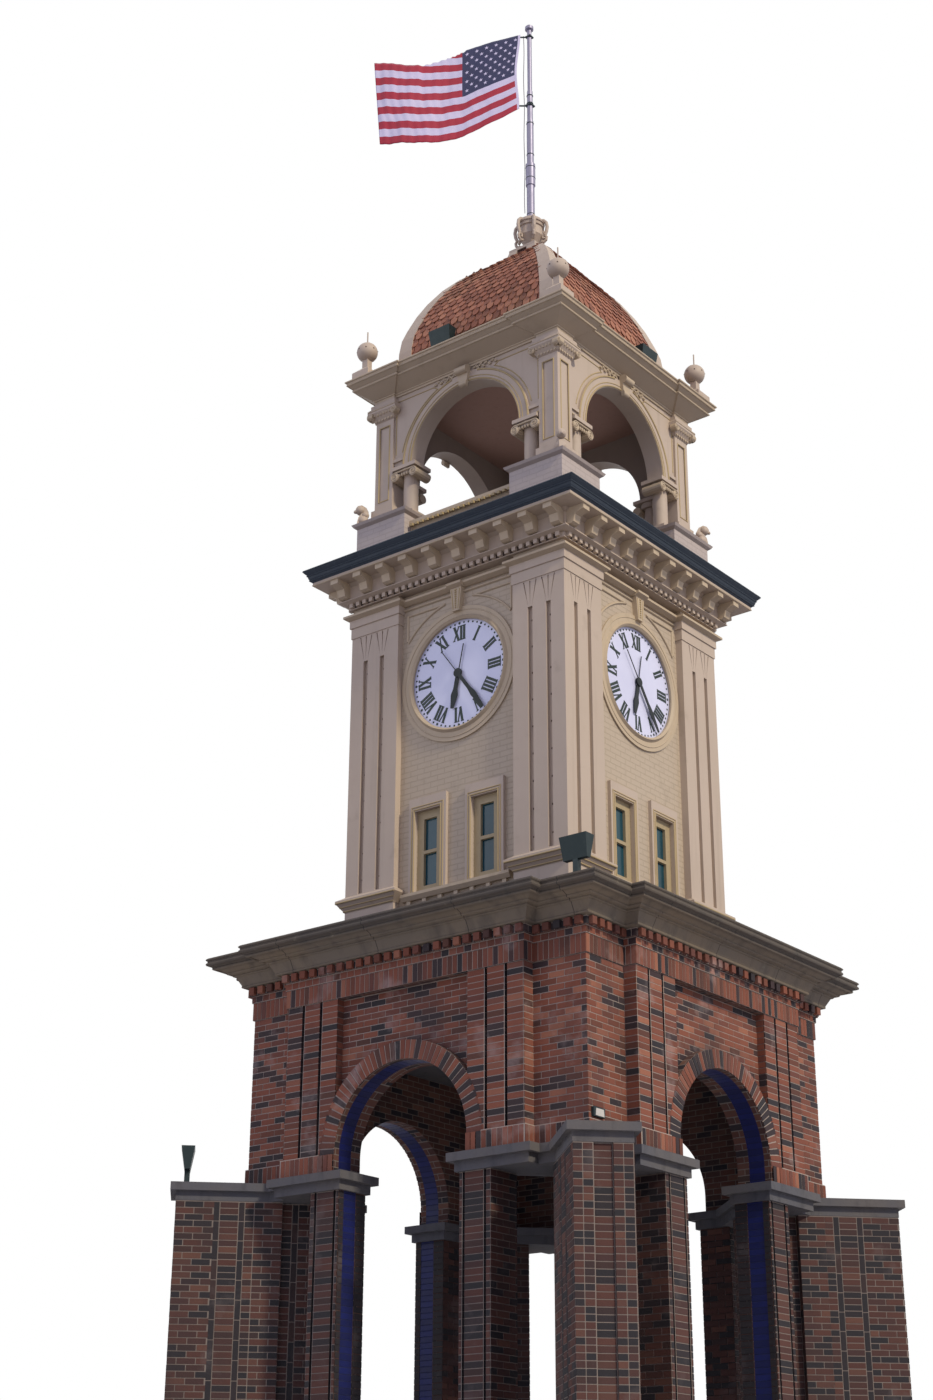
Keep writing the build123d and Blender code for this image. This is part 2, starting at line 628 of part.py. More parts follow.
# Entablature over the clock stage, breaking forward over the pilasters and the keystones
entablature_profile = ((30, 0), (87, 30), (87, 58), (-8, 75), (-8, ENTABLATURE_TOP - CLOCK_TOP))
with BuildPart() as keystone_cap:
    with BuildSketch(Plane.YZ):
        Polygon((-CLOCK_WALL, CLOCK_TOP), (-KEYSTONE_FACE, CLOCK_TOP), (-KEYSTONE_CAP, CLOCK_TOP + 30),
                (-KEYSTONE_CAP, CLOCK_TOP + 58), (-CLOCK_WALL, CLOCK_TOP + 75), align=None)
    extrude(amount=KEYSTONE_TOP_HALF + KEYSTONE_CAP_OVER, both=True)
with BuildPart() as clock_entablature:
    add(moulded(raised(entablature_profile, CLOCK_TOP), CLOCK_HALF, PILASTER_IN, CLOCK_WALL - CLOCK_HALF))
    hollow(CLOCK_INNER, CLOCK_TOP, ENTABLATURE_TOP)
    with PolarLocations(0, 4):
        add(keystone_cap.part)

# Upper cornice: a row of dentils, a bed moulding, a deep frieze behind the brackets and the corona
with BuildPart() as dentil_row:
    with BuildSketch(Plane.XZ.offset(FRIEZE_HALF)):
        with Locations((0, DENTIL_FOOT + DENTIL_TALL / 2)):
            with GridLocations(DENTIL_PITCH, 0, DENTIL_COUNT, 1):
                Rectangle(DENTIL_WIDTH, DENTIL_TALL)
    extrude(amount=DENTIL_PROUD)
with BuildPart() as clock_cornice:
    add(squares(((FRIEZE_HALF, ENTABLATURE_TOP), (FRIEZE_HALF, DENTIL_FOOT + DENTIL_TALL),
                 (FRIEZE_HALF + DENTIL_PROUD, DENTIL_FOOT + DENTIL_TALL),
                 (BRACKET_BACK + 30, BRACKET_FOOT - 12), (BRACKET_BACK + 30, BRACKET_FOOT),
                 (BRACKET_BACK, BRACKET_FOOT), (BRACKET_BACK, CORONA_SOFFIT - 40),
                 (BRACKET_BACK + 40, CORONA_SOFFIT), (CORONA_HALF, CORONA_SOFFIT), (CORONA_HALF, CORONA_TOP))))
    hollow(CLOCK_INNER, ENTABLATURE_TOP, CORONA_TOP)
    with PolarLocations(0, 4):
        add(dentil_row.part)

# Brackets: a hollow curve rising from the bed moulding into a full curve under the nose
bracket_bend = ((BRACKET_BACK + BRACKET_FRONT) / 2, CORONA_SOFFIT - 1.6 * BRACKET_NOSE)
bracket_heel = BRACKET_FOOT + 12
with BuildPart() as bracket:
    with BuildSketch(Plane.YZ):
        with BuildLine():
            Polyline((-bracket_bend[0], bracket_bend[1]), (-BRACKET_BACK - 95, bracket_heel + 18),
                     (-BRACKET_BACK - 62, bracket_heel), (-BRACKET_BACK, bracket_heel))
            Polyline((-BRACKET_BACK, bracket_heel), (-BRACKET_BACK, CORONA_SOFFIT - 40),
                     (-BRACKET_BACK - 40, CORONA_SOFFIT), (-BRACKET_FRONT, CORONA_SOFFIT),
                     (-BRACKET_FRONT, CORONA_SOFFIT - BRACKET_NOSE))
            ThreePointArc((-BRACKET_FRONT, CORONA_SOFFIT - BRACKET_NOSE),
                          (-BRACKET_FRONT + 62, CORONA_SOFFIT - BRACKET_NOSE - 12),
                          (-bracket_bend[0], bracket_bend[1]))
        make_face()
    extrude(amount=BRACKET_WIDTH / 2, both=True)
with BuildPart() as cornice_brackets:
    with PolarLocations(0, 4):
        with GridLocations(BRACKET_PITCH, 0, BRACKET_COUNT, 1):
            add(bracket.part)

# Gutter round the belfry floor
gutter_profile = ((1973, 0), (1982, 11), (2011, 50), (2024, 97), (2056, 129), (2064, GUTTER_TOP - CORONA_TOP))
with BuildPart() as gutter:
    add(squares(raised(gutter_profile, CORONA_TOP)))
    hollow(GUTTER_INNER, CORONA_TOP, GUTTER_TOP)

with BuildPart() as belfry_floor:
    add(squares(((GUTTER_INNER - GAP, CORONA_TOP), (GUTTER_INNER - GAP, GUTTER_TOP))))

# Pedestals under the belfry piers and the low parapets between them
pedestal_mid = (PEDESTAL_IN + PEDESTAL_OUT) / 2
pedestal_half = (PEDESTAL_OUT - PEDESTAL_IN) / 2
pedestal_profile = ((0, GUTTER_TOP), (0, PEDESTAL_TOP), (38, (PEDESTAL_TOP + PEDESTAL_CAP) / 2),
                    (55, PEDESTAL_CAP))
with BuildPart() as belfry_pedestals:
    with GridLocations(2 * pedestal_mid, 2 * pedestal_mid, 2, 2):
        add(squares([(pedestal_half + out, height) for out, height in pedestal_profile]))

with BuildPart() as parapet:
    with BuildSketch(Plane.YZ):
        with BuildLine():
            Polyline((-PARAPET_FACE + PARAPET_LIP, GUTTER_TOP), (-PARAPET_FACE + PARAPET_LIP, PARAPET_COPING),
                     (-PARAPET_FACE, PARAPET_COPING), (-PARAPET_FACE, PARAPET_TOP),
                     (-PARAPET_FACE + PARAPET_THICK, PARAPET_TOP), (-PARAPET_FACE + PARAPET_THICK, GUTTER_TOP),
                     close=True)
        make_face()
    extrude(amount=PEDESTAL_IN - GAP, both=True)
with BuildPart() as belfry_parapets:
    with PolarLocations(0, 4):
        add(parapet.part)

# Belfry corner piers: moulded plinths, sunk panels on the outer faces and spreading capitals
pier_mid = (BELFRY_PIER_IN + BELFRY_HALF) / 2
pier_half = (BELFRY_HALF - BELFRY_PIER_IN) / 2
plinth_profile = ((31, 0), (31, 210), (0, 220))
pier_capital_profile = ((0, 0), (15, 14), (86, 126), (86, 179), (55, 212), (55, 256), (20, 266),
                        (20, BELFRY_TOP - CAPITAL_BOTTOM))
panel_foot = PEDESTAL_CAP + PIER_PANEL_FOOT
panel_head = CAPITAL_BOTTOM - PIER_PANEL_HEAD
with BuildPart() as pier_panels:
    with BuildSketch(Plane.XZ.offset(BELFRY_HALF - PIER_PANEL_DEPTH)):
        with Locations((pier_mid, (panel_foot + panel_head) / 2), (-pier_mid, (panel_foot + panel_head) / 2)):
            Rectangle(PIER_PANEL_WIDTH, panel_head - panel_foot)
    extrude(amount=2 * PIER_PANEL_DEPTH)
with BuildPart() as belfry_piers:
    with GridLocations(2 * pier_mid, 2 * pier_mid, 2, 2):
        add(squares([(pier_half + out, height) for out, height
                     in raised(plinth_profile, PEDESTAL_CAP) + raised(pier_capital_profile, CAPITAL_BOTTOM)]))
    with BuildSketch(Plane.XY.offset(BELFRY_SPRING)):
        Rectangle(2 * BELFRY_PIER_IN, 2 * BELFRY_WALL)
        Rectangle(2 * BELFRY_WALL, 2 * BELFRY_PIER_IN)
    extrude(amount=BELFRY_TOP - BELFRY_SPRING, mode=Mode.SUBTRACT)
    with PolarLocations(0, 4):
        add(pier_panels.part, mode=Mode.SUBTRACT)

# Columns carrying the belfry arches: a plinth, a plain shaft and a round neck under the abacus
with BuildPart() as belfry_column:
    with BuildSketch(Plane.XY.offset(PEDESTAL_CAP)):
        with Locations((COLUMN_AT, -COLUMN_OUT)):
            Rectangle(2 * COLUMN_NECK, 2 * COLUMN_NECK)
    extrude(amount=COLUMN_BASE)
    with BuildSketch(Plane.XY.offset(PEDESTAL_CAP)):
        with Locations((COLUMN_AT, -COLUMN_OUT)):
            Circle(COLUMN_RADIUS)
    extrude(amount=COLUMN_TOP - PEDESTAL_CAP)
    with BuildSketch(Plane.XY.offset(COLUMN_TOP)):
        with Locations((COLUMN_AT, -COLUMN_OUT)):
            Circle(COLUMN_NECK)
    extrude(amount=CAPITAL_NECK)
    with BuildSketch(Plane.XY.offset(COLUMN_TOP + CAPITAL_NECK)):
        with Locations((COLUMN_AT, -COLUMN_OUT)):
            Rectangle(2 * CAPITAL_HALF, 2 * CAPITAL_DEPTH)
    extrude(amount=BELFRY_SPRING - COLUMN_TOP - CAPITAL_NECK)
with BuildPart() as belfry_columns:
    with PolarLocations(0, 4):
        add(belfry_column.part)
        add(belfry_column.part.mirror(Plane.YZ))

# Arch walls of the belfry, standing on the columns between the corner piers, with raised archivolts
impost_in = ARCHIVOLT_RADIUS - IMPOST_TALL
impost_out = BELFRY_PIER_IN - GAP
with BuildPart() as arch_wall:
    with BuildSketch(Plane.XZ.offset(BELFRY_WALL)):
        with Locations((0, (BELFRY_SPRING + BELFRY_TOP) / 2)):
            Rectangle(2 * (BELFRY_PIER_IN - GAP), BELFRY_TOP - BELFRY_SPRING)
        arch_outline(BELFRY_RADIUS, BELFRY_SPRING, BELFRY_SPRING - 50, Mode.SUBTRACT)
    extrude(amount=BELFRY_INNER - BELFRY_WALL)
    with BuildSketch(Plane.XZ.offset(BELFRY_WALL)):
        arch_outline(ARCHIVOLT_RADIUS, BELFRY_SPRING, BELFRY_SPRING)
        arch_outline(BELFRY_RADIUS, BELFRY_SPRING, BELFRY_SPRING, Mode.SUBTRACT)
        for side in (-1, 1):
            with Locations((side * (impost_in + impost_out) / 2, BELFRY_SPRING + IMPOST_RISE + IMPOST_TALL / 2)):
                Rectangle(impost_out - impost_in, IMPOST_TALL)
    extrude(amount=ARCHIVOLT_PROUD)
with BuildPart() as belfry_arch_walls:
    with PolarLocations(0, 4):
        add(arch_wall.part)

# Keystones of the belfry arches: a scroll in profile, rolling out under the cornice and in at the foot
keystone_back = BELFRY_WALL + ARCHIVOLT_PROUD
scroll_foot = BELFRY_SPRING + BELFRY_RADIUS - 60
scroll_tall = BELFRY_TOP - scroll_foot
with BuildPart() as belfry_keystone:
    with BuildSketch(Plane.YZ):
        with BuildLine():
            foot_curl = ThreePointArc((-keystone_back, scroll_foot), (-keystone_back - 48, scroll_foot + 20),
                                      (-keystone_back - 40, scroll_foot + 70))
            waist = Line(foot_curl @ 1, (-keystone_back - 45, scroll_foot + 0.62 * scroll_tall))
            head_curl = ThreePointArc(waist @ 1, (-keystone_back - 110, BELFRY_TOP - 55),
                                      (-keystone_back - 70, BELFRY_TOP))
            Polyline(head_curl @ 1, (-keystone_back, BELFRY_TOP), foot_curl @ 0)
        make_face()
    extrude(amount=SCROLL_HEAD_HALF, both=True)
    with BuildSketch(Plane.XZ.offset(keystone_back)):
        Polygon((-SCROLL_FOOT_HALF, scroll_foot), (SCROLL_FOOT_HALF, scroll_foot),
                (SCROLL_HEAD_HALF, BELFRY_TOP), (-SCROLL_HEAD_HALF, BELFRY_TOP), align=None)
    extrude(amount=2 * SCROLL_HEAD_HALF, mode=Mode.INTERSECT)
with BuildPart() as belfry_keystones:
    with PolarLocations(0, 4):
        add(belfry_keystone.part)

# Roof cornice and the ceiling inside it
with BuildPart() as belfry_cornice:
    add(moulded(raised(ROOF_CORNICE_PROFILE, BELFRY_TOP), BELFRY_HALF, BELFRY_PIER_IN, BELFRY_WALL - BELFRY_HALF))
    hollow(BELFRY_INNER, BELFRY_TOP, ROOF_CORNICE_TOP)
with BuildPart() as belfry_ceiling:
    add(squares(((BELFRY_INNER - GAP, BELFRY_TOP), (BELFRY_INNER - GAP, BELFRY_TOP + 60))))

# Domed roof: a square shell closing in on the platform
dome_profile = raised(DOME, ROOF_CORNICE_TOP)
with BuildPart() as dome:
    add(squares(dome_profile))
    add(squares([(half - DOME_THICK, height) for half, height in dome_profile[:-3]]), mode=Mode.SUBTRACT)

# Hip ribs over the four corners of the dome
with BuildPart() as hip_rib:
    for (low_half, low), (high_half, high) in zip(DOME, DOME[1:]):
        for half, rise in ((low_half, low), (high_half, high)):
            width = RIB_FOOT + (RIB_HEAD - RIB_FOOT) * rise / DOME_TALL
            edge, inner = half + RIB_PROUD, half - width
            with BuildSketch(Plane.XY.offset(ROOF_CORNICE_TOP + rise)):
                Polygon((inner, half), (half, half), (half, inner), (edge, inner), (edge, edge), (inner, edge),
                        align=None)
        loft(ruled=True)
with BuildPart() as hip_ribs:
    with PolarLocations(0, 4):
        add(hip_rib.part)

# Platform, urn and pole on top of the dome
with BuildPart() as dome_platform:
    add(squares(((PLATFORM_HALF, ROOF_CORNICE_TOP + DOME_TALL), (PLATFORM_HALF, PLATFORM_TOP))))
with BuildPart() as roof_urn:
    with BuildSketch(Plane.XZ):
        with Locations((0, PLATFORM_TOP)):
            Polygon((0, 0), (150, 0), (150, 55), (90, 110), (165, 240), (158, 370), (172, 430),
                    (160, URN_TOP - PLATFORM_TOP), (0, URN_TOP - PLATFORM_TOP), align=None)
    revolve(axis=Axis.Z)


def pole_length(radius, low, high):
    """A round length of the pole between two heights, added to the part in use."""
    with BuildSketch(Plane.XY.offset(low)) as section:
        Circle(radius)
    extrude(section.sketch, amount=high - low)


with BuildPart() as flagpole:
    foot = URN_TOP
    for radius, rise in POLE_STEPS:
        pole_length(radius, foot, URN_TOP + rise)
        foot = URN_TOP + rise
    pole_length(POLE_UPPER, foot, POLE_TOP)
    pole_length(TRUCK_RADIUS, POLE_TOP - TRUCK_DROP, POLE_TOP - TRUCK_DROP + TRUCK_TALL)

# Ball finials on square blocks at the corners of the roof cornice
ball_middle = ROOF_CORNICE_TOP + BALL_RISE
with BuildPart() as ball_finial:
    add(squares(((BALL_BLOCK, ROOF_CORNICE_TOP), (BALL_BLOCK, ROOF_CORNICE_TOP + BALL_BLOCK_TALL),
                 (BALL_STEM, ROOF_CORNICE_TOP + BALL_STEM_FOOT), (BALL_STEM, ball_middle))))
    with Locations((0, 0, ball_middle)):
        Sphere(BALL_RADIUS)
    pole_length(SPIKE_RADIUS, ball_middle, ball_middle + BALL_RADIUS + SPIKE_LENGTH)
with BuildPart() as ball_finials:
    with PolarLocations(BALL_AT * sqrt(2), 4, start_angle=45):
        with Locations(Rotation(0, 0, -45)):
            add(ball_finial.part)

# Scroll ornaments standing on the outer corners of the pedestals: a foot, a bent back and a curled head
with BuildPart() as corner_scroll:
    with BuildSketch(Plane.XZ):
        with Locations((0, PEDESTAL_CAP)):
            Polygon((-75, 0), (85, 0), (85, SCROLL_BASE), (30, SCROLL_BASE + 25), (62, 120), (70, 190), (40, 250),
                    (-20, 285), (-70, 270), (-95, 225), (-88, 185), (-50, 190), (-22, 165), (-60, 110),
                    (-75, SCROLL_BASE), align=None)
    extrude(amount=SCROLL_THICK / 2, both=True)
with BuildPart() as corner_scrolls:
    with PolarLocations(SCROLL_AT * sqrt(2), 4, start_angle=45):
        with Locations(Rotation(0, 0, 180)):
            add(corner_scroll.part)

# Floodlights: two by the dome, one at the near corner and one on the left wing, with a light box below
with BuildPart() as floodlight:
    with BuildSketch():
        Rectangle(LAMP_FOOT, LAMP_FOOT)
    extrude(amount=LAMP_POST)
    with BuildSketch(Plane.XY.offset(LAMP_POST)):
        Rectangle(LAMP_WIDTH - 40, LAMP_FOOT)
    with BuildSketch(Plane.XY.offset(LAMP_POST + LAMP_TALL)):
        Rectangle(LAMP_WIDTH, LAMP_DEEP)
    loft()
with BuildPart() as floodlights:
    with Locations(Location((DOME_LAMP_FRONT, -DOME_LAMP_OUT, ROOF_CORNICE_TOP)),
                   Location((DOME_LAMP_OUT, DOME_LAMP_RIGHT, ROOF_CORNICE_TOP), (0, 0, 90)),
                   Location((*CORNER_LAMP, CORNICE_TOP)),
                   Location((-WING_LAMP, -WING_LAMP, CAP_TOP), (0, 0, -45))):
        add(floodlight.part)
    with Locations((BRICK_HALF + LIGHT_BOX_DEPTH / 2, LIGHT_BOX_AT, SLOT_BOTTOM + LIGHT_BOX_RISE)):
        Box(LIGHT_BOX_DEPTH, LIGHT_BOX_WIDTH, LIGHT_BOX_TALL)

# Flag clips: two collars on the pole, each with an arm out to the hoist of the flag
flag_plane = Plane(origin=(0, 0, 0), x_dir=(0.7836, 0.6213, 0), z_dir=(0.6213, -0.7836, 0))
hoist_lean = (HOIST_FOOT - HOIST_HEAD) / (FLAG_HEAD - FLAG_FOOT)
with BuildPart() as flag_clips:
    for height, pole in ((FLAG_HEAD - CLIP_HEAD_DROP, POLE_UPPER), (FLAG_FOOT + CLIP_FOOT_RISE, POLE_MIDDLE)):
        bore = pole + GAP
        hoist = HOIST_HEAD + hoist_lean * (FLAG_HEAD - height - CLIP_TALL)
        with BuildSketch(Plane.XY.offset(height)):
            Rectangle(2 * (bore + CLIP_THICK), 2 * (bore + CLIP_THICK))
            Circle(bore, mode=Mode.SUBTRACT)
        extrude(amount=CLIP_TALL)
        with BuildSketch(flag_plane):
            with Locations((-(bore + 2 + hoist) / 2, height + CLIP_TALL / 2)):
                Rectangle(hoist - bore - 2, CLIP_TALL)
        extrude(amount=CLIP_THICK / 2, both=True)

# Flag: a thin cloth flown from the pole, facing the corner between front and right
with BuildPart() as flag:
    with BuildSketch(flag_plane):
        Polygon((-HOIST_HEAD - GAP, FLAG_HEAD), (-HOIST_FOOT - GAP, FLAG_FOOT),
                (-FLY_FOOT_AT, FLAG_FOOT - FLY_FOOT_DROP), (-FLY_HEAD_AT, FLAG_HEAD - FLY_HEAD_DROP), align=None)
    extrude(amount=FLAG_THICK / 2, both=True)

os.makedirs("parts", exist_ok=True)
wing_piers.part.label = "wing_piers"
export_step(wing_piers.part, "parts/wing_piers.step")
jamb_piers.part.label = "jamb_piers"
export_step(jamb_piers.part, "parts/jamb_piers.step")
impost_caps.part.label = "impost_caps"
export_step(impost_caps.part, "parts/impost_caps.step")
brick_walls.part.label = "brick_walls"
export_step(brick_walls.part, "parts/brick_walls.step")
arch_rings.part.label = "arch_rings"
export_step(arch_rings.part, "parts/arch_rings.step")
blue_tile_strips.part.label = "blue_tile_strips"
export_step(blue_tile_strips.part, "parts/blue_tile_strips.step")
arcade_ceiling.part.label = "arcade_ceiling"
export_step(arcade_ceiling.part, "parts/arcade_ceiling.step")
brick_cornice.part.label = "brick_cornice"
export_step(brick_cornice.part, "parts/brick_cornice.step")
clock_deck.part.label = "clock_deck"
export_step(clock_deck.part, "parts/clock_deck.step")
clock_walls.part.label = "clock_walls"
export_step(clock_walls.part, "parts/clock_walls.step")
clock_pilasters.part.label = "clock_pilasters"
export_step(clock_pilasters.part, "parts/clock_pilasters.step")
sill_bands.part.label = "sill_bands"
export_step(sill_bands.part, "parts/sill_bands.step")
window_surrounds.part.label = "window_surrounds"
export_step(window_surrounds.part, "parts/window_surrounds.step")
window_frames.part.label = "window_frames"
export_step(window_frames.part, "parts/window_frames.step")
window_glass.part.label = "window_glass"
export_step(window_glass.part, "parts/window_glass.step")
dials.part.label = "dials"
export_step(dials.part, "parts/dials.step")
dial_rings.part.label = "dial_rings"
export_step(dial_rings.part, "parts/dial_rings.step")
dial_keystones.part.label = "dial_keystones"
export_step(dial_keystones.part, "parts/dial_keystones.step")
front_minute_hand.part.label = "front_minute_hand"
export_step(front_minute_hand.part, "parts/front_minute_hand.step")
front_hour_hand.part.label = "front_hour_hand"
export_step(front_hour_hand.part, "parts/front_hour_hand.step")
right_minute_hand.part.label = "right_minute_hand"
export_step(right_minute_hand.part, "parts/right_minute_hand.step")
right_hour_hand.part.label = "right_hour_hand"
export_step(right_hour_hand.part, "parts/right_hour_hand.step")
back_minute_hand.part.label = "back_minute_hand"
export_step(back_minute_hand.part, "parts/back_minute_hand.step")
back_hour_hand.part.label = "back_hour_hand"
export_step(back_hour_hand.part, "parts/back_hour_hand.step")
left_minute_hand.part.label = "left_minute_hand"
export_step(left_minute_hand.part, "parts/left_minute_hand.step")
left_hour_hand.part.label = "left_hour_hand"
export_step(left_hour_hand.part, "parts/left_hour_hand.step")
clock_entablature.part.label = "clock_entablature"
export_step(clock_entablature.part, "parts/clock_entablature.step")
clock_cornice.part.label = "clock_cornice"
export_step(clock_cornice.part, "parts/clock_cornice.step")
cornice_brackets.part.label = "cornice_brackets"
export_step(cornice_brackets.part, "parts/cornice_brackets.step")
gutter.part.label = "gutter"
export_step(gutter.part, "parts/gutter.step")
belfry_floor.part.label = "belfry_floor"
export_step(belfry_floor.part, "parts/belfry_floor.step")
belfry_pedestals.part.label = "belfry_pedestals"
export_step(belfry_pedestals.part, "parts/belfry_pedestals.step")
belfry_parapets.part.label = "belfry_parapets"
export_step(belfry_parapets.part, "parts/belfry_parapets.step")
belfry_piers.part.label = "belfry_piers"
export_step(belfry_piers.part, "parts/belfry_piers.step")
belfry_columns.part.label = "belfry_columns"
export_step(belfry_columns.part, "parts/belfry_columns.step")
belfry_arch_walls.part.label = "belfry_arch_walls"
export_step(belfry_arch_walls.part, "parts/belfry_arch_walls.step")
belfry_keystones.part.label = "belfry_keystones"
export_step(belfry_keystones.part, "parts/belfry_keystones.step")
belfry_cornice.part.label = "belfry_cornice"
export_step(belfry_cornice.part, "parts/belfry_cornice.step")
belfry_ceiling.part.label = "belfry_ceiling"
export_step(belfry_ceiling.part, "parts/belfry_ceiling.step")
dome.part.label = "dome"
export_step(dome.part, "parts/dome.step")
hip_ribs.part.label = "hip_ribs"
export_step(hip_ribs.part, "parts/hip_ribs.step")
dome_platform.part.label = "dome_platform"
export_step(dome_platform.part, "parts/dome_platform.step")
roof_urn.part.label = "roof_urn"
export_step(roof_urn.part, "parts/roof_urn.step")
flagpole.part.label = "flagpole"
export_step(flagpole.part, "parts/flagpole.step")
ball_finials.part.label = "ball_finials"
export_step(ball_finials.part, "parts/ball_finials.step")
corner_scrolls.part.label = "corner_scrolls"
export_step(corner_scrolls.part, "parts/corner_scrolls.step")
floodlights.part.label = "floodlights"
export_step(floodlights.part, "parts/floodlights.step")
flag_clips.part.label = "flag_clips"
export_step(flag_clips.part, "parts/flag_clips.step")
flag.part.label = "flag"
export_step(flag.part, "parts/flag.step")
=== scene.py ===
"""Clock tower: laid brick, painted stone, dials, scale-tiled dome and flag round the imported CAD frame.

Metres, Z up. A side feature is drawn on the front, as (across, out, up), and turned for the other sides.
"""

import random
from math import cos, hypot, pi, radians, sin, sqrt

import bmesh
import bpy
import numpy as np
from mathutils import Matrix, Vector


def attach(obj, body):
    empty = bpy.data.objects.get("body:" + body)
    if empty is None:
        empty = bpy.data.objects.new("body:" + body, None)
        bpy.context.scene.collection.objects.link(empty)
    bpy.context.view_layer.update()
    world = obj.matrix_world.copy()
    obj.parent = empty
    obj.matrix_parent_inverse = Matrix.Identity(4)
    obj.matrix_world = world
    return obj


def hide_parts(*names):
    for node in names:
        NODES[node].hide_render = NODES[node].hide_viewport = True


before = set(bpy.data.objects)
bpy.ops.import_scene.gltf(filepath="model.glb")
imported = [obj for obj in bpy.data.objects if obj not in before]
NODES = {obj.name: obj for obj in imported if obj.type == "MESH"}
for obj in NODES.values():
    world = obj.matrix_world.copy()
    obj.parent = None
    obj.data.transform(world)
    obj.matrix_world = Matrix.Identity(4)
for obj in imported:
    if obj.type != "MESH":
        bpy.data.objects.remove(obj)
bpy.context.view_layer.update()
TOWER = "tower"


def show(name, data):
    """A new object in the scene that holds a mesh, a lamp or a lens."""
    thing = bpy.data.objects.new(name, data)
    bpy.context.scene.collection.objects.link(thing)
    return thing


# Camera, solved from the upright and level edges of the tower; angles in degrees, focal length in pixels
CAMERA_AT = (14.1964, -19.2697, 1.6)
AZIMUTH = 38.41
PITCH = 23.11
LEAN = 0.28
FOCAL_LENGTH = 2109.24
PICTURE_WIDTH = 933
SENSOR_WIDTH = 36.0


def place_camera():
    """A camera at eye height by the near corner, tilted up as the photograph was taken."""
    azimuth, pitch, lean = radians(AZIMUTH), radians(PITCH), radians(LEAN)
    ahead = Vector((-sin(azimuth) * cos(pitch), cos(azimuth) * cos(pitch), sin(pitch)))
    level = Vector((cos(azimuth), sin(azimuth), 0.0))
    upright = level.cross(ahead)
    across = level * cos(lean) + upright * sin(lean)
    up = upright * cos(lean) - level * sin(lean)
    lens = bpy.data.cameras.new("view")
    lens.sensor_fit = "HORIZONTAL"
    lens.sensor_width = SENSOR_WIDTH
    lens.lens = FOCAL_LENGTH * SENSOR_WIDTH / PICTURE_WIDTH
    lens.clip_end = 500.0
    camera = show("view", lens)
    camera.matrix_world = Matrix.Translation(CAMERA_AT) @ Matrix((across, up, -ahead)).transposed().to_4x4()
    bpy.context.scene.camera = camera


# Node trees
def maths(operation):
    """A method that puts a wire, and what it is combined with, into one Math node."""
    def method(*values):
        return add(values[0].tree, "ShaderNodeMath", {"operation": operation}, dict(enumerate(values)))
    return method


class Wire:
    """A node's output that adds Math nodes when it takes part in Python arithmetic."""

    def __init__(self, tree, socket):
        self.tree = tree
        self.socket = socket

    __add__ = __radd__ = maths("ADD")
    __sub__ = maths("SUBTRACT")
    __mul__ = __rmul__ = maths("MULTIPLY")
    __truediv__ = maths("DIVIDE")
    above = maths("GREATER_THAN")
    below = maths("LESS_THAN")
    least = maths("MINIMUM")
    most = maths("MAXIMUM")
    size = maths("ABSOLUTE")
    fraction = maths("FRACT")
    floor = maths("FLOOR")
    ceiling = maths("CEIL")
    sine = maths("SINE")
    arctangent = maths("ARCTAN2")

    def __rsub__(self, other):
        return add(self.tree, "ShaderNodeMath", {"operation": "SUBTRACT"}, {0: other, 1: self})

    def root(self):
        """The square root, of nought where the value is below it."""
        return add(self.tree, "ShaderNodeMath", {"operation": "SQRT"}, {0: self.most(0.0)})


def add(tree, kind, settings=None, inputs=None, output=0):
    """One node: its settings first, then the values or links of its inputs."""
    node = tree.nodes.new(kind)
    for name, value in (settings or {}).items():
        if name == "stops":
            for step, (place, colour) in enumerate(value):
                stop = node.color_ramp.elements[step] if step < 2 else node.color_ramp.elements.new(place)
                stop.position = place
                stop.color = tint(colour)
        else:
            setattr(node, name, value)
    for name, value in (inputs or {}).items():
        if isinstance(value, Wire):
            tree.links.new(value.socket, node.inputs[name])
        else:
            node.inputs[name].default_value = value
    return Wire(tree, node.outputs[output])


def tint(code):
    """A colour from its hexadecimal code, as the shader's linear values."""
    values = [int(code[place:place + 2], 16) / 255 for place in (0, 2, 4)]
    return tuple(v / 12.92 if v <= 0.04045 else ((v + 0.055) / 1.055) ** 2.4 for v in values) + (1.0,)


# Sizes of the brickwork
COURSE = 0.067733
STRETCHER = 0.2032
JOINT = 0.010


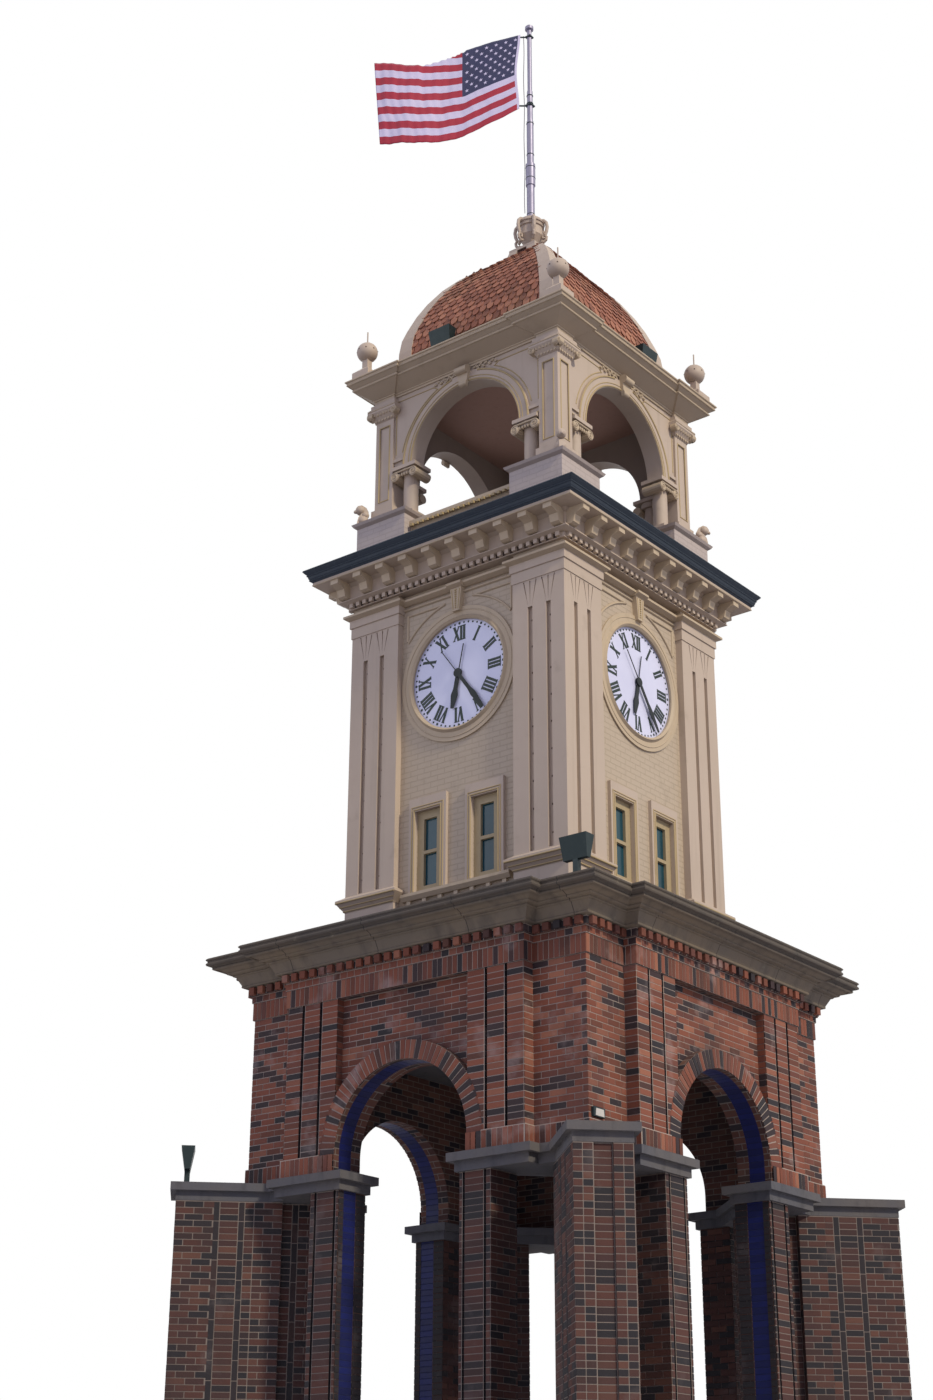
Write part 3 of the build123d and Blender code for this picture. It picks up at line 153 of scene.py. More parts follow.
class Finish:
    """A material, with helpers for the patterns that make its colour, roughness and bump."""

    def __init__(self, name, colour, roughness=0.7, metallic=0.0, coat=0.0, specular=0.5):
        self.material = bpy.data.materials.new(name)
        self.material.use_nodes = True
        self.tree = self.material.node_tree
        self.inputs = self.tree.nodes["Principled BSDF"].inputs
        self.colour = tint(colour)
        for socket, value in (("Base Color", self.colour), ("Roughness", roughness), ("Metallic", metallic),
                              ("Coat Weight", coat), ("Specular IOR Level", specular)):
            self.inputs[socket].default_value = value
        self.place = add(self.tree, "ShaderNodeTexCoord", output=3)
        self.height = None

    def split(self, vector):
        node = add(self.tree, "ShaderNodeSeparateXYZ", None, {0: vector}).socket.node
        return [Wire(self.tree, output) for output in node.outputs]

    def facing(self):
        """The face's normal, along X, Y and Z."""
        return self.split(add(self.tree, "ShaderNodeNewGeometry", output=1))

    def tone(self):
        """The number that each brick or tile was given."""
        return add(self.tree, "ShaderNodeAttribute", {"attribute_name": "tone"}, output=2)

    def noise(self, scale, detail, upright=1.0):
        """Noise, drawn out up the wall where upright is small."""
        placed = add(self.tree, "ShaderNodeVectorMath", {"operation": "MULTIPLY"},
                     {0: self.place, 1: (1.0, 1.0, upright)})
        return add(self.tree, "ShaderNodeTexNoise", None,
                   {"Vector": placed, "Scale": scale, "Detail": detail, "Roughness": 0.55})

    def spread(self, wire, low, high):
        """A value taken from low to high onto 0 to 1, and held there."""
        return add(self.tree, "ShaderNodeMapRange", None, {0: wire, 1: low, 2: high, 3: 0.0, 4: 1.0})

    def mix(self, factor, first, second, mode="MIX"):
        return add(self.tree, "ShaderNodeMix", {"data_type": "RGBA", "blend_type": mode},
                   {0: factor, 6: first, 7: second}, output=2)

    def ramp(self, wire, stops):
        return add(self.tree, "ShaderNodeValToRGB", {"stops": stops}, {0: wire})

    def stain(self, factor, code):
        """Turns the colour towards another where factor is high."""
        self.colour = self.mix(factor, self.colour, tint(code))

    def patches(self, scale, detail, low, high, amount, code, upright=1.0):
        """Stains where noise is between two of its levels and above."""
        self.stain(self.spread(self.noise(scale, detail, upright), low, high) * amount, code)

    def raise_by(self, height):
        self.height = height if self.height is None else self.height + height

    def rough(self, wire):
        self.tree.links.new(wire.socket, self.inputs["Roughness"])

    def done(self, distance=0.004, strength=0.6):
        if isinstance(self.colour, Wire):
            self.tree.links.new(self.colour.socket, self.inputs["Base Color"])
        if self.height is not None:
            bump = add(self.tree, "ShaderNodeBump", None,
                       {"Strength": strength, "Distance": distance, "Height": self.height})
            self.tree.links.new(bump.socket, self.inputs["Normal"])
        return self.material

    def wall_run(self):
        """The distance along an upright face, whichever way it looks, and along X on a level one."""
        x, y, z = self.split(self.place)
        across, ahead, _ = self.facing()
        level = (across.size() + ahead.size()).below(0.5)
        run = (y * across - x * ahead) / (across * across + ahead * ahead).root().most(0.1)
        return run * (1 - level) + x * level, z * (1 - level) + y * level

    def courses(self, joint=JOINT):
        """1 on the bricks of a running bond and 0 in its joints, and a number of its own for each brick."""
        run, rise = self.wall_run()
        row = (rise / COURSE).floor()
        shifted = run / STRETCHER + (row * 0.5).fraction()
        brick = shifted.floor()
        along = (shifted - brick - 0.5).size()
        high = (rise / COURSE - row - 0.5).size()
        face = along.below(0.5 - joint / STRETCHER / 2) * high.below(0.5 - joint / COURSE / 2)
        number = (brick * 0.7548 + row * 0.5698 + (brick * row * 0.317).fraction()).fraction()
        return face, number


# Finishes
BRICK_STOPS = ((0.0, "232029"), (0.13, "38292e"), (0.18, "57392f"), (0.36, "7d4b38"), (0.62, "8b5844"),
               (0.84, "653f37"), (1.0, "a06f57"))
TILE_STOPS = ((0.0, "754736"), (0.5, "98604a"), (1.0, "ae775c"))
# Near-black painted shade, laid over the piers' bricks and mortar
PAINTED_SHADE = "15131b"
ARCH_UP = 5.955


def brick_finish(name, shade_amount, darks):
    """Bricks of mixed tones. A near-black stain darkens them all as painted shade, and darks adds black
    bricks; the piers get more of these, partly dark bricks and partly painted shade.
    """
    made = Finish(name, "8a4534", 0.82)
    made.colour = made.ramp(made.spread(made.tone(), darks, 1.0), BRICK_STOPS)
    grain = made.noise(60.0, 6.0)
    made.colour = made.mix(0.45, made.colour, made.mix(grain, tint("3a2a2c"), tint("c09078")), "SOFT_LIGHT")
    made.patches(1.1, 5.0, 0.52, 0.72, 0.45, "352a2c", 0.35)
    made.patches(2.3, 6.0, 0.585, 0.76, 0.45, "b3a19c")
    # Painted shade: this stain darkens the piers' bricks towards near-black
    if shade_amount:
        made.stain(shade_amount, PAINTED_SHADE)
    made.raise_by(grain * 0.8 + made.noise(260.0, 3.0) * 0.3)
    return made.done(0.004, 0.7)


def mortar_finish(name, shade_amount):
    """Mortar on the outer faces, and a brick pattern on the faces that look inward or lie level, which are
    darkened as painted shade.
    """
    made = Finish(name, "958879", 0.9)
    face, number = made.courses()
    x, y, _ = made.split(made.place)
    across, ahead, up = made.facing()
    inward = (x * across + y * ahead).below(-0.02).most(up.size().above(0.6))
    grit = made.noise(90.0, 5.0)
    made.colour = made.mix(grit * 0.5, tint("b5a598"), tint("83786f"))
    made.colour = made.mix(face * inward, made.colour, made.ramp(number, BRICK_STOPS))
    made.patches(1.1, 5.0, 0.5, 0.75, 0.5, "3a3232", 0.35)
    # Painted shade: this stain darkens the piers' mortar towards near-black
    if shade_amount:
        made.stain(shade_amount, PAINTED_SHADE)
    # Painted shade: faces that look inward or lie level are darkened towards near-black
    made.stain(inward * 0.55, "131118")
    made.raise_by(face * inward + grit * 0.2)
    return made.done(0.008, 0.6)


def painted_stone(name, colour, shade, dirt, bump=0.35, inner=0.0):
    """Painted stone with streaks and dirt, its undersides darkened as painted shade; inner darkens what looks
    into the belfry as painted shade.
    """
    made = Finish(name, colour, 0.62)
    x, y, _ = made.split(made.place)
    across, ahead, up = made.facing()
    made.patches(0.9, 4.0, 0.35, 0.7, 0.35, shade)
    made.patches(7.0, 5.0, 0.58, 0.80, 0.28, dirt, 0.06)
    made.patches(3.0, 8.0, 0.62, 0.8, 0.35, dirt)
    # Painted shade: faces that look down are darkened towards brown
    made.stain(made.spread(0 - up, 0.2, 0.8) * 0.5, "5f4d42")
    # Painted shade: faces that look inward, into the belfry, are darkened
    if inner:
        made.stain((x * across + y * ahead).below(-1.0) * inner, "463733")
    made.raise_by(made.noise(45.0, 6.0) * bump)
    made.rough(made.noise(6.0, 3.0) * 0.25 + 0.5)
    return made


def stone_finish(name, colour, shade, dirt, inner=0.0):
    return painted_stone(name, colour, shade, dirt, inner=inner).done(0.003, 0.4)


def painted_brick_finish(name, colour, shade, joint):
    """Brickwork under many coats of paint, its joints softened."""
    made = painted_stone(name, colour, shade, "8c7f6c", 0.2)
    face, number = made.courses(joint=0.014)
    made.stain((1 - face) * 0.3, joint)
    made.raise_by(face + number * face * 0.3)
    return made.done(0.006, 0.55)


CORNICE_BLOCK = 1.245
COVE_TOP = 8.225


def cornice_finish():
    """Weathered stone in long blocks, dark above the cove."""
    made = Finish("weathered_stone", "6f6558", 0.85)
    made.patches(1.3, 6.0, 0.4, 0.65, 0.6, "80705a")
    run, _ = made.wall_run()
    made.stain(made.spread(made.split(made.place)[2], COVE_TOP, COVE_TOP + 0.030) * 0.55, "26262c")
    seam = ((run / CORNICE_BLOCK + 0.19).fraction() - 0.5).size().above(0.4955)
    made.stain(seam * 0.8, "2e2a28")
    made.patches(6.0, 6.0, 0.5, 0.75, 0.5, "3a3836", 0.08)
    made.patches(9.0, 8.0, 0.64, 0.78, 0.5, "8f866f")
    made.raise_by(made.noise(30.0, 8.0) + made.noise(160.0, 3.0) * 0.3)
    return made.done(0.006, 0.6)


def concrete_finish():
    made = Finish("cast_concrete", "55555a", 0.88)
    made.patches(1.5, 6.0, 0.4, 0.7, 0.6, "665f58")
    made.patches(8.0, 6.0, 0.52, 0.72, 0.6, "3a3a3e", 0.3)
    pits = made.spread(made.noise(120.0, 2.0), 0.62, 0.72)
    made.stain(pits * 0.5, "403d3b")
    made.raise_by(made.noise(40.0, 6.0) * 0.7 - pits)
    return made.done(0.004, 0.6)


def glaze_finish():
    """Blue glazed bricks: level courses up the piers, and courses fanned round the arches."""
    made = Finish("blue_glaze", "1c2a80", 0.5, specular=0.25)
    x, y, z = made.split(made.place)
    lift = z - ARCH_UP
    fan = lift.arctangent(x.size().least(y.size())) * 0.9
    step = (fan * lift.above(0.0) + z * lift.below(0.0)) / COURSE
    row = step.floor()
    joint = (step - row - 0.5).size().above(0.43)
    made.colour = made.mix((row * 0.618).fraction() * 0.6, tint("0b1248"), tint("131f66"))
    made.patches(4.0, 5.0, 0.5, 0.8, 0.5, "14183c")
    made.stain(joint * 0.75, "1b2040")
    made.rough(joint * 0.3 + made.noise(20.0, 4.0) * 0.25 + 0.35)
    made.raise_by(made.noise(25.0, 3.0) * 0.15 - joint)
    return made.done(0.004, 0.6)


def paint_finish(name, colour, worn, roughness, metallic=0.0, coat=0.0):
    """Paint on metal or timber, dulled in patches, with a faint orange peel."""
    made = Finish(name, colour, roughness, metallic, coat)
    made.patches(14.0, 6.0, 0.55, 0.8, 0.5, worn)
    made.rough(made.noise(9.0, 4.0) * 0.25 + (roughness - 0.1))
    made.raise_by(made.noise(120.0, 3.0) * 0.1)
    return made.done(0.002, 0.4)


def dial_finish():
    made = Finish("dial_enamel", "d6d8ee", 0.38, coat=0.2)
    made.patches(1.6, 4.0, 0.4, 0.75, 0.5, "c4c6e0")
    made.patches(7.0, 6.0, 0.6, 0.8, 0.3, "a9a9b8", 0.12)
    made.raise_by(made.noise(8.0, 2.0) * 0.2)
    return made.done(0.002, 0.3)


def glass_finish():
    made = Finish("window_glass", "1a3f4a", 0.2, specular=0.3)
    made.patches(2.0, 3.0, 0.35, 0.7, 0.6, "2b5d68", 0.4)
    made.rough(made.noise(15.0, 4.0) * 0.12 + 0.12)
    made.raise_by(made.noise(3.0, 2.0) * 0.3)
    return made.done(0.003, 0.25)


def tile_finish():
    """Clay scale tiles: each with its own tone, and lichen in patches."""
    made = Finish("scale_tile", "96513f", 0.75)
    made.colour = made.ramp(made.tone(), TILE_STOPS)
    made.patches(2.2, 6.0, 0.52, 0.75, 0.45, "7d6246")
    made.patches(30.0, 5.0, 0.6, 0.8, 0.4, "4f2a24")
    made.raise_by(made.noise(70.0, 5.0))
    return made.done(0.003, 0.5)


def cloth_finish(name, colour, dark):
    made = Finish(name, colour, 0.8)
    x, y, z = made.split(made.place)
    weave = ((x * 0.78 + y * 0.62) * 420.0).sine() * (z * 420.0).sine()
    made.patches(5.0, 4.0, 0.4, 0.75, 0.35, dark)
    made.raise_by(weave * 0.5)
    made.inputs["Sheen Weight"].default_value = 0.25
    return made.done(0.0008, 0.4)


BRICK = brick_finish("laid_brick", 0.0, 0.04)
# Pier brick and mortar: copies of the wall's, darkened all over as painted shade
PIER_BRICK = brick_finish("shade_painted_brick", 0.66, 0.18)
MORTAR = mortar_finish("mortar_and_inner_brick", 0.0)
PIER_MORTAR = mortar_finish("shade_painted_mortar", 0.42)
PALE = stone_finish("pale_paint", "bcab99", "b1a08c", "857764")
# The same pale paint, with faces that look into the belfry darkened as painted shade
ARCH_PAINT = stone_finish("arch_wall_paint", "bcab99", "b1a08c", "857764", inner=0.6)
CREAM = stone_finish("cream_paint", "bdab90", "b09e82", "84765a")
CREAM_BRICK = painted_brick_finish("cream_brick", "b8a892", "ad9c84", "8f806a")
PALE_BRICK = painted_brick_finish("pale_brick", "b9aca4", "b0a29a", "9a8e86")
OCHRE = stone_finish("ochre_paint", "af9a70", "9f8b62", "75674a")
CORNICE_STONE = cornice_finish()
CONCRETE = concrete_finish()
GLAZE = glaze_finish()
DIAL = dial_finish()
RUST = paint_finish("rusted_hole", "3a241c", "241613", 0.9)
LENS = paint_finish("lamp_lens", "c4bfb6", "a8a298", 0.3, coat=0.3)
ROPE = paint_finish("grey_line", "6f6c70", "57545a", 0.9)
INK = paint_finish("numeral_paint", "102420", "20382f", 0.55)
HAND_PAINT = paint_finish("hand_paint", "0c161c", "18242b", 0.65)
GUTTER_PAINT = paint_finish("gutter_paint", "1a2736", "2f3b46", 0.6, 0.1)
LAMP_PAINT = paint_finish("lamp_paint", "14262a", "2c3a3c", 0.45, 0.3)
SASH_PAINT = paint_finish("sash_paint", "a89775", "8d7d60", 0.6)
CEILING_PAINT = paint_finish("ceiling_paint", "9c7b6c", "82665a", 0.8)
POLE_PAINT = paint_finish("pole_paint", "8f8ba0", "6f6a7c", 0.42, 0.35)
GLASS = glass_finish()
TILE = tile_finish()
# Dark brown for the painted shade in the gaps between dentils
GAP_SHADE_PAINT = paint_finish("gap_shade_paint", "43352c", "2f2622", 0.9)
# Dark paint on the dome under the tiles, as painted shade in the gaps between them
UNDER_TILE = paint_finish("under_tile", "4c2f2a", "38221f", 0.9)
RED_CLOTH = cloth_finish("red_cloth", "a51f38", "84182c")
WHITE_CLOTH = cloth_finish("white_cloth", "cfc8e2", "b3acca")
BLUE_CLOTH = cloth_finish("blue_cloth", "242850", "1a1d3e")

CAD_FINISHES = {
    MORTAR: ("brick_walls", "arch_rings"),
    PIER_MORTAR: ("wing_piers", "jamb_piers"),
    CONCRETE: ("impost_caps", "arcade_ceiling", "clock_deck", "belfry_floor"),
    GLAZE: ("blue_tile_strips",),
    CORNICE_STONE: ("brick_cornice",),
    CREAM_BRICK: ("clock_walls",),
    PALE_BRICK: ("belfry_pedestals",),
    ARCH_PAINT: ("belfry_arch_walls",),
    PALE: ("clock_pilasters", "window_surrounds", "belfry_piers", "belfry_columns", "hip_ribs",
           "dome_platform", "ball_finials", "roof_urn", "corner_scrolls", "clock_cornice"),
    CREAM: ("sill_bands", "dial_rings", "dial_keystones", "clock_entablature", "cornice_brackets",
            "belfry_parapets", "belfry_keystones", "belfry_cornice"),
    SASH_PAINT: ("window_frames",),
    GLASS: ("window_glass",),
    DIAL: ("dials",),
    HAND_PAINT: [f"{side}_{kind}_hand" for side in ("front", "right", "back", "left")
                 for kind in ("minute", "hour")],
    LAMP_PAINT: ("floodlights", "flag_clips"),
    GUTTER_PAINT: ("gutter",),
    CEILING_PAINT: ("belfry_ceiling",),
    UNDER_TILE: ("dome",),
    POLE_PAINT: ("flagpole",),
}


def finish_cad_nodes():
    for made, names in CAD_FINISHES.items():
        for name in names:
            NODES[name].data.materials.clear()
            NODES[name].data.materials.append(made)


# Pieces kept as arrays until they become one mesh
class Heap:
    """Points and faces of many small pieces, with a tone for each point."""

    def __init__(self):
        self.points = []
        self.faces = []
        self.tones = []
        self.count = 0

    def put(self, points, faces, tone=0.5):
        points = np.asarray(points, float)
        self.points.append(points)
        self.faces.extend([corner + self.count for corner in face] for face in faces)
        self.tones.append(np.broadcast_to(np.asarray(tone, float), len(points)))
        self.count += len(points)

    def piece(self, name, *materials, slot="buff_stone", smooth=False, tidy=True):
        """One mesh of the whole heap; tidy turns its faces outward where they weren't drawn so."""
        mesh = bpy.data.meshes.new(name)
        mesh.from_pydata(np.concatenate(self.points).tolist(), [], self.faces)
        if tidy:
            turned = bmesh.new()
            turned.from_mesh(mesh)
            bmesh.ops.recalc_face_normals(turned, faces=turned.faces)
            turned.to_mesh(mesh)
            turned.free()
        tones = mesh.attributes.new("tone", "FLOAT", "POINT")
        tones.data.foreach_set("value", np.concatenate(self.tones))
        for made in materials:
            mesh.materials.append(made)
        if smooth:
            mesh.shade_smooth()
        mesh.update()
        thing = show(name, mesh)
        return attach(thing, TOWER)


def sides(points, which=range(4)):
    """Front points, given as (across, out, up), turned to the front, right, back and left."""
    across, out, up = np.asarray(points, float).T
    for side in which:
        cosine, sine = round(cos(side * pi / 2)), round(sin(side * pi / 2))
        yield side, np.stack((across * cosine + out * sine, across * sine - out * cosine, up), axis=1)


def put_on_sides(heap, points, faces, which=range(4), both=False):
    """A front piece on each side, and its mirror image too where both is set."""
    for _, turned in sides(points, which):
        heap.put(turned, faces)
    if both:
        put_on_sides(heap, [(-x, y, z) for x, y, z in points], [tuple(face)[::-1] for face in faces], which)


# Brick courses, laid by a node tree
COURSE_SIZES = ("Length", "Height", "Brick", "Course", "Joint", "Proud", "Shift", "Arch Radius",
                "Arch Across", "Arch Up", "Darkest")


def course_tree():
    """Lays a field of bricks along X and up Z, cut at both ends and round an arch."""
    tree = bpy.data.node_groups.new("brick_courses", "GeometryNodeTree")
    tree.interface.new_socket("Bricks", in_out="OUTPUT", socket_type="NodeSocketGeometry")
    for name, kind in [(size, "Float") for size in COURSE_SIZES] + [("Seed", "Int"), ("Finish", "Material")]:
        tree.interface.new_socket(name, in_out="INPUT", socket_type="NodeSocket" + kind)
    given = tree.nodes.new("NodeGroupInput")
    (length, height, brick, course, joint, proud, shift, radius, arch_across, arch_up, darkest, seed,
     finish) = [Wire(tree, socket) for socket in given.outputs if socket.name]
    columns = (length / brick).ceiling() + 1
    rows = ((height + 0.001) / course).floor()
    index = add(tree, "GeometryNodeInputIndex")
    row = (index / columns + 0.0001).floor()
    column = index - row * columns
    start = (column - (row * 0.5).fraction() * 2 * shift) * brick
    rise = (row + 0.5) * course
    over = (rise - arch_up).most(0.0)
    half = (radius * radius - over * over).root()
    within = half.above(0.0001)
    beyond = (start + brick / 2 - arch_across).above(0.0) * within
    before = (1 - beyond) * within
    left = start.most(0.0).least(length).most((arch_across + half) * beyond)
    right = (start + brick - joint).most(0.0).least(length)
    right = right.least((arch_across - half) * before + length * (1 - before))
    width = right - left
    jitter, tone = [add(tree, "FunctionNodeRandomValue", {"data_type": "FLOAT"},
                        {2: low, 3: high, "ID": index, "Seed": draw}, output=1)
                    for low, high, draw in ((0.7, 1.25, seed), (0.0, darkest, seed + 7))]
    place = add(tree, "ShaderNodeCombineXYZ", None, {0: (left + right) / 2, 1: 0.0, 2: rise - joint / 2})
    scale = add(tree, "ShaderNodeCombineXYZ", None, {0: width, 1: proud * 2 * jitter, 2: course - joint})
    points = add(tree, "GeometryNodePoints", None, {"Count": rows * columns, "Position": place})
    toned = add(tree, "GeometryNodeStoreNamedAttribute", {"data_type": "FLOAT", "domain": "POINT"},
                {"Geometry": points, "Name": "tone", "Value": tone})
    block = add(tree, "GeometryNodeMeshCube", None, {"Size": (1.0, 1.0, 1.0)})
    laid = add(tree, "GeometryNodeInstanceOnPoints", None,
               {"Points": toned, "Selection": width.above(0.012), "Instance": block, "Scale": scale})
    real = add(tree, "GeometryNodeRealizeInstances", None, {"Geometry": laid})
    finished = add(tree, "GeometryNodeSetMaterial", None, {"Geometry": real, "Material": finish})
    tree.links.new(finished.socket, tree.nodes.new("NodeGroupOutput").inputs[0])
    return tree


def read(items, name, width=1, kind=float):
    """One value of every point or corner of a mesh, as an array."""
    values = np.zeros(len(items) * width, kind)
    items.foreach_get(name, values)
    return values


class Bricklayer:
    """Lays fields of bricks on upright faces and heaps them up for the piece they belong to."""

    def __init__(self):
        self.tree = course_tree()
        self.seed = 1
        self.heap = None

    def bricks(self, sizes):
        """One field of bricks from the tree, as its points, faces and tones."""
        host = show("courses", bpy.data.meshes.new("courses"))
        modifier = host.modifiers.new("courses", "NODES")
        modifier.node_group = self.tree
        values = {"Seed": self.seed, "Finish": BRICK, "Arch Radius": 0.0, "Arch Across": -9.0, "Arch Up": 0.0,
                  **sizes}
        for item in self.tree.interface.items_tree:
            if item.in_out == "INPUT":
                modifier[item.identifier] = values[item.name]
        bpy.context.view_layer.update()
        mesh = bpy.data.meshes.new_from_object(host.evaluated_get(bpy.context.evaluated_depsgraph_get()))
        points = read(mesh.vertices, "co", 3).reshape(-1, 3)
        corners = read(mesh.loops, "vertex_index", kind=int).reshape(-1, 4)
        tones = read(mesh.attributes["tone"].data, "value")
        bpy.data.objects.remove(host)
        bpy.data.meshes.remove(mesh)
        return points, corners, tones

    def field(self, start, end, foot, height, length=STRETCHER, course=COURSE, shift=0.5, joint=JOINT,
              proud=0.004, arch=None, mirror=False, dark=None):
        """A field between two plan points, as (across, out), which faces outward where it runs to the right.

        An arch is given as its radius, its middle along the field and its height. Dark caps the tones.
        """
        self.seed += 1
        start, end = np.array(start, float), np.array(end, float)
        run = np.linalg.norm(end - start)
        sizes = {"Length": run, "Height": height, "Brick": length, "Joint": joint, "Proud": proud,
                 "Course": height / max(1, round(height / course)), "Shift": shift, "Darkest": dark or 1.0}
        if arch:
            radius, across, up = arch
            sizes.update({"Arch Radius": radius, "Arch Across": across, "Arch Up": up - foot})
        points, faces, tones = self.bricks(sizes)
        if not len(points):
            return
        way = (end - start) / run
        flat = start + points[:, :1] * way - points[:, 1:2] * np.array((-way[1], way[0]))
        placed = np.stack((flat[:, 0], flat[:, 1], points[:, 2] + foot), axis=1)
        views = [(placed, faces, 0.0)]
        if mirror:
            views.append((placed * (-1, 1, 1), faces[:, ::-1], 0.19))
        for shown, corners, more in views:
            for side, turned in sides(shown):
                mixed = tones if dark else (tones + side * 0.37 + more) % 1.0
                self.heap.put(turned, corners.tolist(), mixed)

    def groove(self, left, right, out, depth, foot, height):
        """Dark bricks on the back and both sides of an upright groove, as painted shade in it."""
        back = out - depth
        for start, end in (((left, back), (right, back)), ((left, out), (left, back)),
                           ((right, back), (right, out))):
            self.field(start, end, foot, height, shift=0.0, length=0.2, joint=0.004, proud=0.001, mirror=True,
                       dark=0.15)


# Plan and heights of the brickwork
PIER_TALL = 5.575
WING_HALF = 0.292
WEB_HALF = 0.200
WING_START = 2.876
WING_END = 4.030
WING_PANEL = 4.000
PIER_OUT = 2.466
INNER = 2.039
CAP_TOP = 5.765
WALL_FOOT = 5.968
WALL_TALL = 1.690
CORNER_OUT = 2.304
BAY_OUT = 2.464
BAY_REACH = 1.636
FIELD_OUT = 2.364
FIELD_REACH = 0.905
ARCH_CUT = 1.085


def lay_wing(layer):
    """The diagonal wings: strips of running, stacked and soldier bricks up each flank, and the narrow end."""
    # Soldier strips take only the darker tones: partly darker bricks, partly painted shade
    soldier = {"length": COURSE, "course": STRETCHER, "shift": 0.0, "dark": 0.34}

    def at(along, aside):
        return ((along - aside) / sqrt(2), (along + aside) / sqrt(2))

    flank = ((WING_END, 3.616, {}), (3.616, 3.548, soldier), (3.548, 3.345, {"shift": 0.0}),
             (3.345, 3.278, soldier), (3.278, 3.176, {"shift": 0.0, "length": 0.102}),
             (3.176, WING_START, {}))
    web = ((WING_START, 2.760, {"shift": 0.0, "length": 0.116}), (2.760, 2.692, soldier), (2.692, 2.280, {}))
    for half, strips in ((WING_HALF, flank), (WEB_HALF, web)):
        for outer, inner, bond in strips:
            layer.field(at(inner, half), at(outer, half), 0.0, PIER_TALL, **bond)
            layer.field(at(outer, -half), at(inner, -half), 0.0, PIER_TALL, **bond)
    for low, high in ((WEB_HALF, WING_HALF), (-WING_HALF, -WEB_HALF)):
        layer.field(at(WING_START, low), at(WING_START, high), 0.0, PIER_TALL, shift=0.0, length=0.092)
    edges = (WING_HALF, 0.196, 0.0955, -0.0955, -0.196, -WING_HALF)
    for left, right in zip(edges, edges[1:]):
        out = WING_PANEL if left == -right else WING_END
        layer.field(at(out, left), at(out, right), 0.0, PIER_TALL, shift=0.0, length=left - right)


def lay_jamb_piers(layer):
    """The piers beside each arch: a stacked strip between two grooves, and coursed flanks."""
    for left, right in ((0.815, 0.855), (0.885, 1.125), (1.155, 1.212)):
        layer.field((left, PIER_OUT), (right, PIER_OUT), 0.0, PIER_TALL, shift=0.0, length=right - left,
                    mirror=True)
    for left, right in ((0.855, 0.885), (1.125, 1.155)):
        layer.groove(left, right, PIER_OUT, 0.025, 0.0, PIER_TALL)
    layer.field((1.212, PIER_OUT), (1.212, INNER), 0.0, PIER_TALL, mirror=True)
    # The reveal strips take only dark tones, partly dark bricks and partly painted shade
    for start, end in ((INNER, 2.193), (2.386, PIER_OUT)):
        layer.field((0.815, start), (0.815, end), 0.0, PIER_TALL, shift=0.0, length=end - start, mirror=True,
                    dark=0.3)
    layer.field((1.212, INNER), (0.815, INNER), 0.0, PIER_TALL, mirror=True)


def lay_walls(layer):
    """The brick stage: soldier courses, corner blocks, strips between grooves, arch field and dentils."""
    soldier = {"length": COURSE, "course": STRETCHER - 0.001, "shift": 0.0}
    for start, end in (((1.661, 2.329), (2.329, 2.329)), ((FIELD_REACH, 2.489), (1.661, 2.489)),
                       ((1.661, 2.489), (1.661, 2.329))):
        layer.field(start, end, CAP_TOP, 0.203, mirror=True, **soldier)
    layer.field((BAY_REACH, CORNER_OUT), (CORNER_OUT, CORNER_OUT), WALL_FOOT, WALL_TALL, mirror=True)
    layer.field((BAY_REACH, BAY_OUT), (BAY_REACH, CORNER_OUT), WALL_FOOT, WALL_TALL, shift=0.0, length=0.160,
                mirror=True)
    for left, right in ((FIELD_REACH, 1.130), (1.165, 1.390), (1.425, BAY_REACH)):
        layer.field((left, BAY_OUT), (right, BAY_OUT), WALL_FOOT, WALL_TALL, shift=0.0, length=right - left,
                    arch=(ARCH_CUT, -left, ARCH_UP), mirror=True)
    layer.field((-FIELD_REACH, FIELD_OUT), (FIELD_REACH, FIELD_OUT), CAP_TOP, 1.890,
                arch=(ARCH_CUT, FIELD_REACH, ARCH_UP))
    layer.field((FIELD_REACH, FIELD_OUT), (FIELD_REACH, BAY_OUT), 6.577, 1.080, shift=0.0, length=0.100,
                mirror=True)
    # The third band, the row behind the dentils, takes only near-black tones as painted shade in the gaps
    for foot, proud, size in ((7.658, 0.018, soldier), (7.862, 0.030, {"length": 0.102, "course": 0.075}),
                              (7.938, 0.057, {"length": 0.068, "course": 0.084, "shift": 0.0, "dark": 0.13})):
        high = size["course"] + 0.0005
        corner, bay, reach = CORNER_OUT + proud, BAY_OUT + proud, BAY_REACH + proud
        layer.field((reach, corner), (corner, corner), foot, high, mirror=True, **size)
        layer.field((-reach, bay), (reach, bay), foot, high, **size)
        layer.field((reach, bay), (reach, corner), foot, high, mirror=True, **size)
    dentil = {"length": 0.136, "course": 0.138, "shift": 0.0, "joint": 0.056, "proud": 0.034}
    layer.field((1.700, 2.375), (2.370, 2.375), 7.939, 0.138, mirror=True, **dentil)
    layer.field((-1.665, 2.535), (1.735, 2.535), 7.939, 0.138, **dentil)
    for left, right in ((1.130, 1.165), (1.390, 1.425)):
        layer.groove(left, right, BAY_OUT, 0.055, WALL_FOOT, 1.687)
    layer.field((0.901, BAY_OUT), (1.099, BAY_OUT), CAP_TOP, 0.204, shift=0.0, length=0.198, mirror=True)


